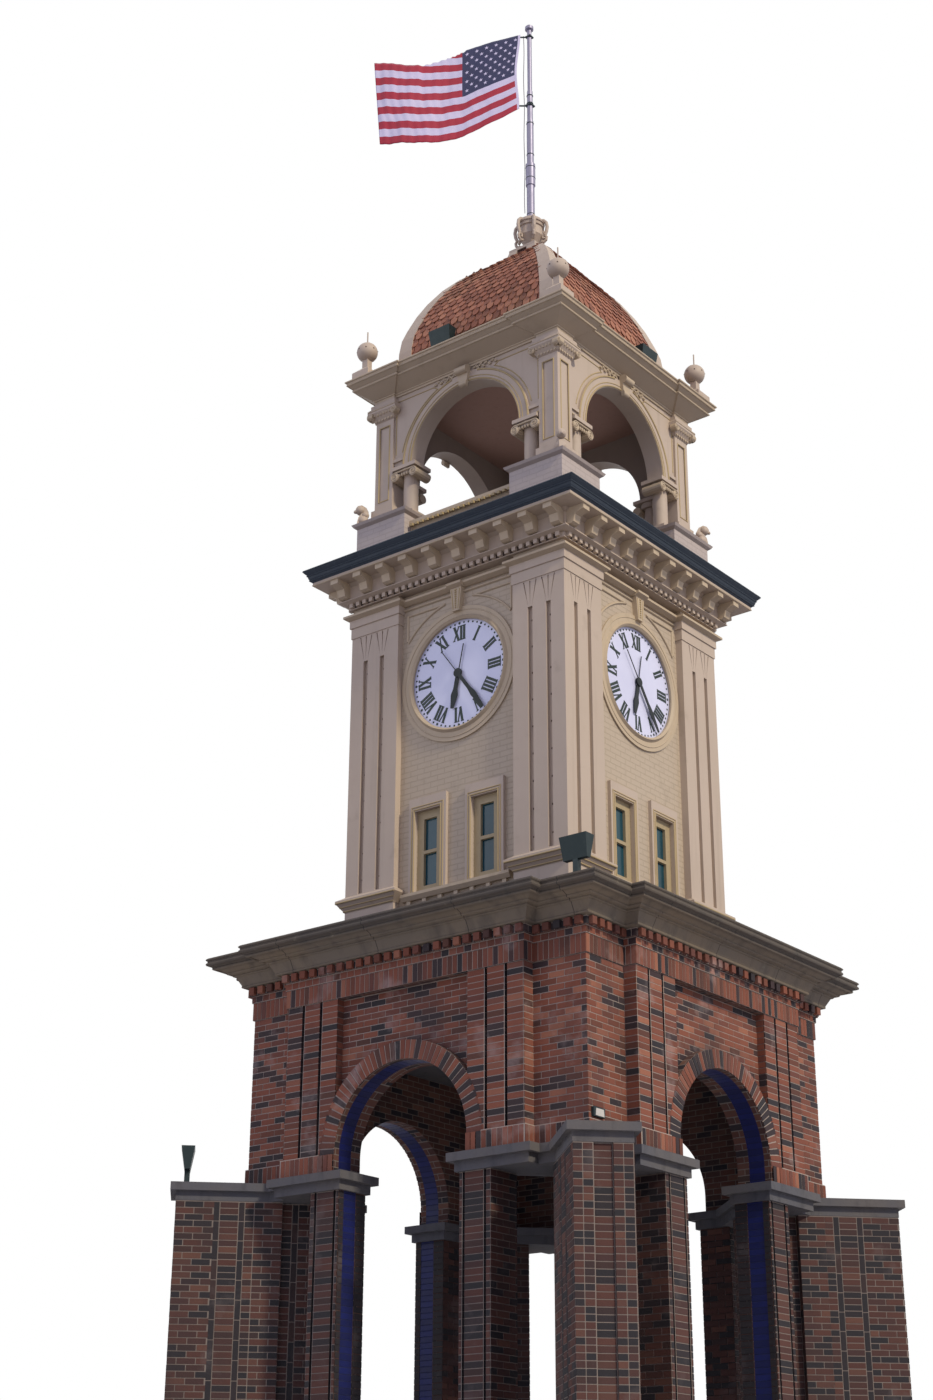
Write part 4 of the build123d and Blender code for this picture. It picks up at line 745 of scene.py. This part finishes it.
def lay_rings(heap):
    """Voussoirs round each arch, with three stacked bricks under each end."""
    random.seed(5)
    count, inner, outer, joint = 46, 0.901, 1.099, 0.0072
    faces = ((3, 2, 1, 0), (5, 6, 7, 4), (1, 5, 4, 0), (2, 6, 5, 1), (3, 7, 6, 2), (0, 4, 7, 3))
    for step in range(count):
        low = pi * step / count + joint
        high = pi * (step + 1) / count - joint
        proud = BAY_OUT + random.uniform(0.005, 0.008)
        corners = ((inner, low), (outer, low), (outer, high), (inner, high))
        points = [(r * cos(a), out, ARCH_UP + r * sin(a))
                  for out in (proud, BAY_OUT - 0.003) for r, a in corners]
        for _, turned in sides(points):
            tone = random.uniform(0.0, 0.15) if random.random() < 0.38 else random.uniform(0.2, 1.0)
            heap.put(turned, faces, tone)


def make_brickwork():
    layer = Bricklayer()
    for name, lay, finish in (("wing_bricks", lay_wing, PIER_BRICK),
                              ("jamb_bricks", lay_jamb_piers, PIER_BRICK), ("wall_bricks", lay_walls, BRICK)):
        layer.heap = Heap()
        lay(layer)
        layer.heap.piece(name, finish, slot="brick", tidy=False)
    heap = Heap()
    lay_rings(heap)
    heap.piece("arch_bricks", BRICK, slot="brick", tidy=False)


# Plain forms
def box(low, high):
    """Corners and faces of a box between two points, as (across, out, up)."""
    points = [(x, y, z) for x in (low[0], high[0]) for y in (low[1], high[1]) for z in (low[2], high[2])]
    return points, ((0, 2, 3, 1), (4, 5, 7, 6), (0, 1, 5, 4), (2, 6, 7, 3), (0, 4, 6, 2), (1, 3, 7, 5))


def plate_faces(count, back=True):
    """Faces of an outline given a thickness: the front, the back where it can be seen, and the edge."""
    behind = [tuple(range(2 * count - 1, count - 1, -1))] if back else []
    edge = [(k, k + count, (k + 1) % count + count, (k + 1) % count) for k in range(count)]
    return [tuple(range(count))] + behind + edge


def ring_faces(rings, around, ends="open"):
    """Faces between one ring of points and the next; the ends stay open, are capped, or are joined."""
    last = rings if ends == "joined" else rings - 1
    faces = [(a * around + k, a * around + (k + 1) % around, (a + 1) % rings * around + (k + 1) % around,
              (a + 1) % rings * around + k) for a in range(last) for k in range(around)]
    if ends == "capped":
        faces += [tuple(range(around)), tuple(range(rings * around - 1, (rings - 1) * around - 1, -1))]
    return faces


def arc(radius, low, high, middle=(0.0, 0.0), steps=20):
    """Points of an arc between two angles in degrees."""
    return [(middle[0] + radius * cos(a), middle[1] + radius * sin(a))
            for a in np.radians(np.linspace(low, high, steps))]


def disc(middle, radius, corners=14):
    return arc(radius, 0, 360 * (corners - 1) / corners, middle, corners)


def spiral(middle, radius, turns, steps=26):
    """A scroll closing in on its middle from above; turns below nought runs clockwise."""
    return [(middle[0] + radius * (1 - 0.8 * t) * cos(pi / 2 + 2 * pi * turns * t),
             middle[1] + radius * (1 - 0.8 * t) * sin(pi / 2 + 2 * pi * turns * t))
            for t in np.linspace(0, 1, steps)]


def leaf(middle, length, width, turn):
    """A pointed leaf lying at an angle in degrees."""
    shape = [(-0.5, 0.0), (-0.25, -0.42), (0.1, -0.5), (0.38, -0.26), (0.5, 0.0), (0.38, 0.26), (0.1, 0.5),
             (-0.25, 0.42)]
    cosine, sine = cos(radians(turn)), sin(radians(turn))
    return [(middle[0] + x * length * cosine - z * width * sine,
             middle[1] + x * length * sine + z * width * cosine) for x, z in shape]


def slab(heap, outline, back, front, which=range(4), both=False):
    """A flat outline, as (across, up) going anticlockwise from the front, given a thickness outwards."""
    points = [(x, out, z) for out in (front, back) for x, z in outline]
    put_on_sides(heap, points, plate_faces(len(outline)), which, both)


HALF_ROUND = tuple((cos(a), sin(a)) for a in np.linspace(pi, 0.0, 6))


def bead(heap, path, width, out, proud=None, closed=False, both=False):
    """A half-round moulding along a path, as (across, up), on the wall plane at that distance out."""
    path = np.array(path, float)
    ahead = np.roll(path, -1, axis=0) - path
    if not closed:
        ahead[-1] = ahead[-2]
    ahead /= np.linalg.norm(ahead, axis=1)[:, None]
    behind = np.roll(ahead, 1, axis=0)
    if not closed:
        behind[0] = ahead[0]
    mitre = ahead + behind
    mitre /= np.linalg.norm(mitre, axis=1)[:, None]
    aside = np.stack((-mitre[:, 1], mitre[:, 0]), axis=1)
    aside /= np.maximum(0.4, (mitre * ahead).sum(axis=1))[:, None]
    proud = width / 2 if proud is None else proud
    section = [(u * width / 2, v * proud) for u, v in HALF_ROUND]
    section += [(width / 2, -0.003), (-width / 2, -0.003)]
    points = [(x + u * ax, out + v, z + u * az) for (x, z), (ax, az) in zip(path, aside) for u, v in section]
    faces = ring_faces(len(path), len(section), "joined" if closed else "capped")
    put_on_sides(heap, points, faces, both=both)


def roll(heap, out, up, size, corner, bay=None, reach=None, flat=1.0):
    """A round moulding carried round all four sides, out from the plan of the walls and their bays."""
    plan = [(-corner - out, corner + out, -1)]
    if bay:
        turn = 1 if bay > corner else -1
        jog = reach + turn * out
        plan += [(-jog, corner + out, -turn), (-jog, bay + out, -turn), (jog, bay + out, turn),
                 (jog, corner + out, turn)]
    points = []
    for u, v in disc((0.0, 0.0), size, 8):
        ring = [(across + u * way, o + u, up + v * flat) for across, o, way in plan]
        points.append(np.concatenate([turned for _, turned in sides(ring)]))
    heap.put(np.concatenate(points), ring_faces(8, len(points[0]), "joined"))


def egg(heap, middle, size, both=False, around=8, rings=4):
    """A small rounded boss; middle and size are (across, out, up)."""
    points = [(0.0, 0.0, -1.0)]
    for ring in range(1, rings):
        a = pi * ring / rings
        points += [(sin(a) * cos(b), sin(a) * sin(b), -cos(a))
                   for b in np.linspace(0, 2 * pi, around, endpoint=False)]
    points.append((0.0, 0.0, 1.0))
    last = len(points) - 1
    faces = [(0, 1 + (k + 1) % around, 1 + k) for k in range(around)]
    faces += [[1 + corner for corner in face] for face in ring_faces(rings - 1, around)]
    faces += [(last - around + k, last - around + (k + 1) % around, last) for k in range(around)]
    put_on_sides(heap, np.array(points) * size + middle, faces, both=both)


def tube(heap, path, radius, corners=8):
    """A round rod along points given as x, y and z."""
    path = np.array(path, float)
    ahead = np.gradient(path, axis=0)
    ahead /= np.linalg.norm(ahead, axis=1)[:, None]
    side = np.cross(ahead[0], (0.31, 0.52, 0.79))
    points = []
    for place, way in zip(path, ahead):
        side = side - way * (side @ way)
        side /= np.linalg.norm(side)
        other = np.cross(way, side)
        points += [place + radius * (cos(a) * side + sin(a) * other)
                   for a in np.linspace(0, 2 * pi, corners, endpoint=False)]
    heap.put(points, ring_faces(len(path), corners, "capped"))


# Dials: each letter has its width, its strokes and its serifs, all from its lower left corner
LETTERS = {
    "I": (0.30, [((0.15, 0), (0.15, 1), 0.21)], ((0.15, 0.02, 0.28), (0.15, 0.98, 0.28))),
    "V": (0.62, [((0.10, 1), (0.33, 0), 0.22), ((0.31, 0), (0.52, 1), 0.10)],
          ((0.10, 0.98, 0.28), (0.52, 0.98, 0.22))),
    "X": (0.66, [((0.10, 1), (0.56, 0), 0.22), ((0.10, 0), (0.56, 1), 0.10)],
          ((0.10, 0.98, 0.26), (0.56, 0.98, 0.22), (0.10, 0.02, 0.22), (0.56, 0.02, 0.26))),
}
DIAL_UP = 11.644
DIAL_OUT = 1.505
NUMERAL_FOOT = 0.430
NUMERAL_TALL = 0.185
DOTS_AT = 0.652


def numeral(letters):
    """Pen strokes of one Roman numeral, centred, 0 to 1 high, each as an outline."""
    across = -sum(LETTERS[letter][0] for letter in letters) / 2
    strokes = []
    for letter in letters:
        width, lines, serifs = LETTERS[letter]
        for (x0, z0), (x1, z1), pen in lines + [((x - size / 2, z), (x + size / 2, z), 0.06)
                                                for x, z, size in serifs]:
            length = hypot(x1 - x0, z1 - z0)
            nx, nz = -(z1 - z0) / length * pen / 2, (x1 - x0) / length * pen / 2
            strokes.append([(across + x0 + nx, z0 + nz), (across + x0 - nx, z0 - nz),
                            (across + x1 - nx, z1 - nz), (across + x1 + nx, z1 + nz)])
        across += width
    return strokes


def make_numerals():
    heap = Heap()
    for hour, name in enumerate(("XII", "I", "II", "III", "IIII", "V", "VI", "VII", "VIII", "IX", "X", "XI")):
        cosine, sine = cos(radians(30 * hour)), sin(radians(30 * hour))
        for layer, outline in enumerate(numeral(name)):
            placed = []
            for x, z in outline:
                x, z = x * NUMERAL_TALL * 0.80, NUMERAL_FOOT + z * NUMERAL_TALL
                placed.append((x * cosine + z * sine, DIAL_UP - x * sine + z * cosine))
            if sum(a[0] * b[1] - b[0] * a[1] for a, b in zip(placed, placed[1:] + placed[:1])) < 0:
                placed = placed[::-1]
            slab(heap, placed, DIAL_OUT - 0.001, DIAL_OUT + 0.0035 + layer * 0.0002)
    for minute in range(60):
        turn = radians(6 * minute)
        size = 0.0165 if minute % 5 == 0 else 0.0125
        dot = disc((DOTS_AT * sin(turn), DIAL_UP + DOTS_AT * cos(turn)), size, 10)
        slab(heap, dot, DIAL_OUT - 0.001, DIAL_OUT + 0.003)
    heap.piece("dial_numerals", INK, slot="black_metal", tidy=False)


# Mouldings and carving
WALL_OUT = 1.515
PILASTER_OUT = 1.608
KEYSTONE_OUT = 1.585
BELFRY_OUT = 1.435
BELFRY_WALL = 1.410
SPRING = 14.810
COLUMN_AT = 0.952
SCROLL_AT = 1.545
COLUMN_CAPITAL = 14.668
PIER_CAPITAL = 15.655
WINDOW_AT = 0.415
WINDOW_FOOT = 9.052


def make_clock_mouldings():
    """Sunk-panel lines beside each dial, the carved strips of its keystone and the window architraves."""
    heap = Heap()
    bead(heap, [(0.785, 12.262), (0.785, 12.600), (0.212, 12.600)], 0.032, WALL_OUT, 0.020, both=True)
    bead(heap, arc(0.980, 37.4, 76.5, (0.0, DIAL_UP)), 0.032, WALL_OUT, 0.020, both=True)
    bead(heap, [(-0.850, 12.690), (0.850, 12.690)], 0.034, WALL_OUT, 0.024)
    bead(heap, arc(0.800, 0, 354, (0.0, DIAL_UP), 60), 0.014, 1.537, closed=True)
    heap.piece("clock_mouldings", CREAM)
    heap = Heap()
    bead(heap, [(0.036, 12.455), (0.060, 12.715)], 0.012, KEYSTONE_OUT, both=True)
    for step in range(9):
        egg(heap, (0.0, KEYSTONE_OUT, 12.475 + 0.029 * step), (0.012 + 0.0012 * step, 0.012, 0.012))
    for middle in (WINDOW_AT, -WINDOW_AT):
        for reach, top, width in ((0.200, 10.045, 0.022), (0.232, 10.078, 0.016)):
            left, right = middle - reach, middle + reach
            path = [(left, WINDOW_FOOT), (left, top), (right, top), (right, WINDOW_FOOT)]
            bead(heap, path, width, 1.560)
    for off, up, width in ((0.012, 8.990, 0.022), (0.044, 9.036, 0.020), (0.080, 9.084, 0.024)):
        reach = PILASTER_OUT + off
        bead(heap, [(0.872 - off, up), (reach, up)], width, reach - 0.002, both=True)
    heap.piece("keystone_and_window_trim", OCHRE)


def make_cornice_rolls():
    """Lips and rolls that step the stone cornice, the roof cornice and the bed of the clock's cornice."""
    heap = Heap()
    for out, up, size, flat in ((0.398, 8.350, 0.026, 0.7), (0.400, 8.297, 0.022, 1.0),
                                (0.348, 8.251, 0.021, 1.0), (0.234, 8.199, 0.018, 1.0),
                                (0.184, 8.170, 0.014, 1.0), (0.108, 8.046, 0.016, 1.0)):
        roll(heap, out, up, size, CORNER_OUT, BAY_OUT, BAY_REACH, flat)
    heap.piece("stone_cornice_rolls", CORNICE_STONE)
    heap = Heap()
    for out, up, size in ((0.022, 15.905, 0.014), (0.220, 16.040, 0.014), (0.278, 16.118, 0.012),
                          (0.292, 16.164, 0.015)):
        roll(heap, out, up, size, 1.442, BELFRY_WALL, 1.155)
    roll(heap, 0.0, 13.206, 0.012, 1.966)
    heap.piece("roof_cornice_rolls", CREAM)
    # Thin dark boxes between the dentils under the clock's cornice, as painted shade in the gaps
    heap = Heap()
    for step in range(30):
        across = 0.105 * (step - 14.5)
        put_on_sides(heap, *box((across - 0.026, 1.643, 12.896), (across + 0.026, 1.650, 12.946)))
    heap.piece("dentil_gap_shade", GAP_SHADE_PAINT)
    heap = Heap()
    for out, up, size in ((1.998, 13.268, 0.009), (2.020, 13.330, 0.011), (2.058, 13.388, 0.011)):
        roll(heap, 0.0, up, size, out)
    heap.piece("gutter_rolls", GUTTER_PAINT, slot="green_metal")


def make_rust_holes():
    """Small fixing holes up the pilasters' grooves and round the ball finials."""
    heap = Heap()
    for across in (1.121, 1.382):
        for up in np.arange(9.35, 12.1, 0.33):
            slab(heap, disc((across, up), 0.014, 8), 1.560, 1.5645, both=True)
    for turn in range(8):
        a = radians(45 * turn + 12)
        egg(heap, (SCROLL_AT + 0.133 * cos(a), SCROLL_AT + 0.133 * sin(a), 16.655), (0.011, 0.011, 0.011))
    heap.piece("rust_holes", RUST, slot="black_metal")


def make_belfry_mouldings():
    """Lines of the archivolts, spandrels and pier panels, and the dentils under the parapet's coping."""
    heap = Heap()
    for radius, width in ((0.862, 0.024), (0.905, 0.014)):
        bead(heap, arc(radius, 0, 180, (0.0, SPRING), 40), width, BELFRY_OUT)
    bead(heap, arc(0.985, 0, 78, (0.0, SPRING), 24), 0.026, BELFRY_OUT, both=True)
    bead(heap, arc(1.045, 12, 64, (0.0, SPRING), 18) + [(0.520, 15.792), (1.128, 15.792), (1.128, 15.020)],
         0.016, BELFRY_WALL, both=True)
    bead(heap, [(0.870, SPRING + 0.012), (1.150, SPRING + 0.012)], 0.022, BELFRY_OUT, both=True)
    panel = ((1.216, 14.400), (1.216, 15.479), (1.381, 15.479), (1.381, 14.400))
    bead(heap, panel, 0.018, 1.441, closed=True, both=True)
    for step in range(20):
        across = -0.76 + 0.08 * step
        put_on_sides(heap, *box((across - 0.020, 1.498, 13.842), (across + 0.020, 1.532, 13.878)))
    heap.piece("belfry_mouldings", OCHRE)


def volute(heap, middle, turns, edge, radius, width, back, front, eye):
    """A scroll of a capital: its drum, the spiral on it and the eye."""
    slab(heap, disc(middle, edge), back, front, both=True)
    bead(heap, spiral(middle, radius, turns), width, front, both=True)
    egg(heap, (middle[0], front + 0.002, middle[1]), (eye, eye - 0.001, eye), both=True)


def make_belfry_carving():
    """Scrolled capitals of the columns and corner piers, leaves by the keystones, and the scrolls' bodies."""
    heap = Heap()
    for across, turns in ((COLUMN_AT - 0.150, 1.6), (COLUMN_AT + 0.150, -1.6)):
        volute(heap, (across, COLUMN_CAPITAL), turns, edge=0.062, radius=0.058, width=0.018, back=1.175,
               front=1.462, eye=0.013)
    bead(heap, [(0.800, 14.728), (1.104, 14.728)], 0.026, 1.455, both=True)
    for step in range(5):
        egg(heap, (COLUMN_AT + 0.042 * (step - 2), 1.440, 14.682), (0.018, 0.022, 0.028), both=True)
    for across, turns in ((1.100, 1.5), (1.496, -1.5)):
        volute(heap, (across, PIER_CAPITAL), turns, edge=0.050, radius=0.047, width=0.015, back=1.440,
               front=1.520, eye=0.011)
    for step in range(6):
        across = 1.172 + 0.0504 * step
        egg(heap, (across, 1.500, 15.662), (0.019, 0.022, 0.027), both=True)
        slab(heap, leaf((across, 15.602), 0.060, 0.034, 90), 1.440, 1.472, both=True)
    bead(heap, [(1.075, 15.725), (1.520, 15.725)], 0.020, 1.526, both=True)
    leaves = ((0.165, 15.835, 20), (0.205, 15.812, -60), (0.245, 15.838, 35), (0.290, 15.806, -40),
              (0.330, 15.836, 20), (0.385, 15.805, -25), (0.430, 15.832, 15), (0.480, 15.806, -5))
    for step, (across, up, turn) in enumerate(leaves):
        slab(heap, leaf((across, up), 0.074 - 0.003 * step, 0.034, turn), 1.408, 1.432, both=True)
        egg(heap, (across, 1.432, up), (0.016, 0.009, 0.009), both=True)
    heap.piece("belfry_carving", CREAM)
    heap = Heap()
    for along, up, size in ((0.035, 14.300, 0.064), (-0.028, 14.235, 0.052), (-0.004, 14.152, 0.070)):
        at = SCROLL_AT + along / sqrt(2)
        egg(heap, (at, at, up), (size, size, size), around=12, rings=6)
    egg(heap, (SCROLL_AT + 0.070, SCROLL_AT + 0.070, 14.276), (0.022, 0.022, 0.024))
    heap.piece("rounded_scrolls", PALE, smooth=True)


def hoop(heap, radius, up, thick, steps):
    tube(heap, [(x, y, up) for x, y in arc(radius, 0, 360, steps=steps)], thick)


def make_urn_and_pole_trim():
    """Curled handles round the urn at the pole's foot, and the bands and halyard of the pole."""
    heap = Heap()
    curl = [(0.150, 18.545), (0.185, 18.530), (0.215, 18.560), (0.222, 18.605), (0.200, 18.640),
            (0.172, 18.630), (0.165, 18.600), (0.182, 18.582)]
    handle = [(0.200, 18.640), (0.222, 18.700), (0.232, 18.770), (0.220, 18.840), (0.185, 18.880),
              (0.140, 18.890)]
    for turn in range(6):
        cosine, sine = cos(pi * turn / 3 + 0.3), sin(pi * turn / 3 + 0.3)
        for line, radius in ((curl, 0.020), (handle, 0.024)):
            tube(heap, [(r * cosine, r * sine, z) for r, z in line], radius)
    for radius, up in ((0.166, 18.790), (0.176, 18.845)):
        hoop(heap, radius, up, 0.014, 33)
    heap.piece("urn_handles", PALE, slot="cream_render")
    heap = Heap()
    for radius, up in ((0.050, 19.02), (0.062, 19.62), (0.062, 19.80), (0.046, 20.02), (0.046, 20.55),
                       (0.040, 20.90), (0.040, 21.03)):
        hoop(heap, radius, up, 0.008, 25)
    heap.piece("pole_bands", LAMP_PAINT, slot="black_metal")
    heap = Heap()
    tube(heap, [(-0.064 - 0.006 * sin(k), -0.050, 19.05 + 0.16 * k) for k in range(20)], 0.005, 6)
    heap.piece("halyard", ROPE, slot="flag_cloth")


def make_lamp_lens():
    """The pale lens on the light box of the near corner block."""
    heap = Heap()
    outline = [(-2.245, 6.000), (-2.095, 6.000), (-2.105, 6.072), (-2.235, 6.072)]
    slab(heap, outline, 2.336, 2.350, which=(1,))
    heap.piece("light_box_lens", LENS, slot="black_metal")


# Dome: half its width at each height, and the width, length and rise of a tile
DOME = np.array(((1.232, 16.180), (1.228, 16.400), (1.222, 16.650), (1.198, 16.850), (1.150, 17.010),
                 (1.062, 17.250), (0.962, 17.460), (0.822, 17.690), (0.672, 17.870), (0.512, 18.020),
                 (0.372, 18.130), (0.260, 18.200)))
DOME_FOOT = 16.180
DOME_RISE = 2.18
TILE_WIDE = 0.118
TILE_LONG = 0.165
ROW_RISE = 0.098


def make_dome_tiles():
    """Scale tiles in rows up the four curved faces, each tipped out over the row below."""
    random.seed(11)
    heap = Heap()
    steps = np.concatenate(([0.0], np.cumsum(np.hypot(*np.diff(DOME, axis=0).T))))
    outline = [(0.5 * cos(a), 0.42 + 0.42 * sin(a)) for a in np.linspace(pi, 2 * pi, 7)]
    outline += [(0.5, 1.0), (-0.5, 1.0)]
    faces = plate_faces(len(outline), back=False)

    def dome_at(reach):
        return np.array([np.interp(reach, steps, DOME[:, k]) for k in (0, 1)])

    for row in range(int(steps[-1] / ROW_RISE)):
        foot = dome_at(row * ROW_RISE)
        slope = dome_at(row * ROW_RISE + 0.08) - foot
        slope /= np.linalg.norm(slope)
        out = np.array((slope[1], -slope[0]))
        rib = 0.200 - 0.090 * (foot[1] - DOME_FOOT) / DOME_RISE
        limit = foot[0] - rib + 0.03
        columns = int(limit / TILE_WIDE) + 1
        for column in range(-columns, columns + 1):
            across = (column + 0.5 * (row % 2)) * TILE_WIDE
            if abs(across) > limit:
                continue
            tip, lift = random.uniform(0.019, 0.028), random.uniform(-0.003, 0.003)
            points = []
            for thick in (0.0, 0.009):
                for u, v in outline:
                    s, z = foot + slope * (v * TILE_LONG + lift) + out * (0.004 + tip * (1 - v) - thick * 0.9)
                    x = across + u * TILE_WIDE * 0.88
                    points.append((min(max(x, -limit - 0.04), limit + 0.04), s, z))
            for _, turned in sides(points):
                heap.put(turned, faces, random.random())
    heap.piece("dome_tiles", TILE, slot="dome_sheet", tidy=False)


# Flag: edges of the cloth as it blows, as (part of the fly, metres along from the pole's axis, up)
FLAG_TOP = np.array(((0.0, 0.126, 22.116), (0.191, 0.521, 21.981), (0.371, 0.893, 21.840),
                     (0.486, 1.132, 21.724), (0.674, 1.522, 21.566), (0.764, 1.707, 21.544),
                     (0.853, 1.891, 21.549), (0.937, 2.066, 21.575), (1.0, 2.196, 21.577)))
FLAG_FOOT = np.array(((0.0, 0.148, 20.818), (0.117, 0.375, 20.665), (0.249, 0.632, 20.522),
                      (0.403, 0.931, 20.345), (0.546, 1.208, 20.242), (0.698, 1.505, 20.197),
                      (0.852, 1.803, 20.195), (1.0, 2.091, 20.206)))
FLAG_WAY = np.array((-0.7836, -0.6213, 0.0))
FLAG_FACE = np.array((0.6213, -0.7836, 0.0))
STRIPES = 13
CANTON = (0.4, 7)


def flag_point(u, v, lift=0.0):
    """A point of the cloth, u along the fly and v down the hoist; towards the fly the head folds over."""
    fold = np.interp(u, (0.38, 0.50, 0.70, 1.0), (0.0, 1.0, 2.0, 2.0)) / STRIPES
    down = abs(v - fold) / (1 - fold)
    top, foot = [np.array([np.interp(u, edge[:, 0], edge[:, k]) for k in (1, 2)])
                 for edge in (FLAG_TOP, FLAG_FOOT)]
    along, up = top + (foot - top) * down
    along += 0.045 * sin(pi * v) ** 2 * (1 - u) ** 3
    wave = 0.050 * u * sin(2 * pi * (1.35 * u + 0.18 * v) + 0.4)
    wave += 0.011 * u ** 0.6 * sin(2 * pi * (6.3 * u - 1.1 * v)) * (0.4 + 0.6 * v)
    wave += 0.0045 * u * sin(2 * pi * (17 * u + 0.9 * v) + 1.3 * sin(9 * v))
    if v < fold:
        wave -= 0.022 * sin(pi / 2 * min(1.0, (fold - v) * STRIPES * 1.5)) + 0.012
    return FLAG_WAY * along + FLAG_FACE * (wave + lift) + np.array((0.0, 0.0, up))


def make_cloth():
    """Thirteen stripes, a canton and a white heading in one cloth."""
    columns, rows, thick = 120, 4 * STRIPES, 0.0012
    red, white, blue = range(3)
    points, faces, finishes = [], [], []
    for lift in (thick, -thick):
        points += [flag_point(i / columns, j / rows, lift) for j in range(rows + 1)
                   for i in range(columns + 1)]
    wide = columns + 1
    layer = wide * (rows + 1)
    for j in range(rows):
        for i in range(columns):
            a = j * wide + i
            faces += [(a, a + 1, a + wide + 1, a + wide),
                      (a + layer, a + wide + layer, a + wide + 1 + layer, a + 1 + layer)]
            stripe = j * STRIPES // rows
            finish = white if stripe % 2 else red
            if i < CANTON[0] * columns and stripe < CANTON[1]:
                finish = blue
            finishes += [white if i < 2 else finish] * 2
    edge = list(range(wide)) + [(j + 1) * wide - 1 for j in range(1, rows + 1)]
    edge += [rows * wide + i for i in range(columns - 1, -1, -1)] + [j * wide for j in range(rows - 1, 0, -1)]
    for a, b in zip(edge, edge[1:] + edge[:1]):
        faces.append((b, a, a + layer, b + layer))
        finishes.append(white)
    cloth = Heap()
    cloth.put(points, faces)
    flag = cloth.piece("flag_cloth", RED_CLOTH, WHITE_CLOTH, BLUE_CLOTH, slot="flag_cloth", smooth=True,
                       tidy=False)
    flag.data.polygons.foreach_set("material_index", finishes)
    return flag


def make_stars():
    stars = Heap()
    for row in range(9):
        for column in range(6 - row % 2):
            u = CANTON[0] * (2 * column + 1 + row % 2) / 12
            v = CANTON[1] / STRIPES * (row + 1) / 10
            ring = [(u + 0.0150 * size * sin(turn), v - 0.0220 * size * cos(turn))
                    for turn, size in ((pi * k / 5, 1.0 if k % 2 == 0 else 0.4) for k in range(10))]
            points = [flag_point(max(a, 0.0), b, lift) for lift in (0.0022, -0.0022) for a, b in ring]
            stars.put(points, plate_faces(10))
    return stars.piece("flag_stars", WHITE_CLOTH, slot="flag_cloth")


def make_flag():
    """The cloth, with its stars as a second piece."""
    flag = make_cloth()
    sewn = make_stars()
    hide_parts("flag")


# Stage and light
def set_stage():
    floor = bpy.data.meshes.new("floor")
    reach = 60
    floor.from_pydata([(-reach, -reach, 0), (reach, -reach, 0), (reach, reach, 0), (-reach, reach, 0)], [],
                      [(0, 1, 2, 3)])
    plain = Finish("pale_floor", "d9d7d3", 0.9)
    plain.stain(plain.noise(0.4, 2.0) * 0.08, "cfccc6")
    floor.materials.append(plain.done())
    show("floor", floor)
    world = bpy.data.worlds.new("studio")
    bpy.context.scene.world = world
    world.use_nodes = True
    tree = world.node_tree
    back = tree.nodes["Background"]
    rays = add(tree, "ShaderNodeLightPath").socket.node.outputs
    camera, glossy, through = [Wire(tree, rays[f"Is {kind} Ray"])
                               for kind in ("Camera", "Glossy", "Transmission")]
    shade = add(tree, "ShaderNodeMix", {"data_type": "RGBA"},
                {0: camera.most(glossy).most(through), 6: tint("9a9ebf"), 7: (1.0, 1.0, 1.0, 1.0)}, output=2)
    tree.links.new(shade.socket, back.inputs["Color"])
    back.inputs["Strength"].default_value = 1.0
    bpy.context.scene.view_settings.view_transform = "Standard"
    for name, turn, power, colour, spread in (("key", (54, 0, 80), 2.5, (1.0, 0.91, 0.74), 6),
                                              ("fill", (60, 0, -40), 0.26, (0.84, 0.88, 1.0), 30)):
        light = bpy.data.lights.new(name, "SUN")
        light.energy = power
        light.color = colour
        light.angle = radians(spread)
        show(name, light).rotation_euler = [radians(a) for a in turn]


place_camera()
finish_cad_nodes()
make_brickwork()
make_numerals()
make_clock_mouldings()
make_cornice_rolls()
make_rust_holes()
make_belfry_mouldings()
make_belfry_carving()
make_urn_and_pole_trim()
make_lamp_lens()
make_dome_tiles()
make_flag()
set_stage()
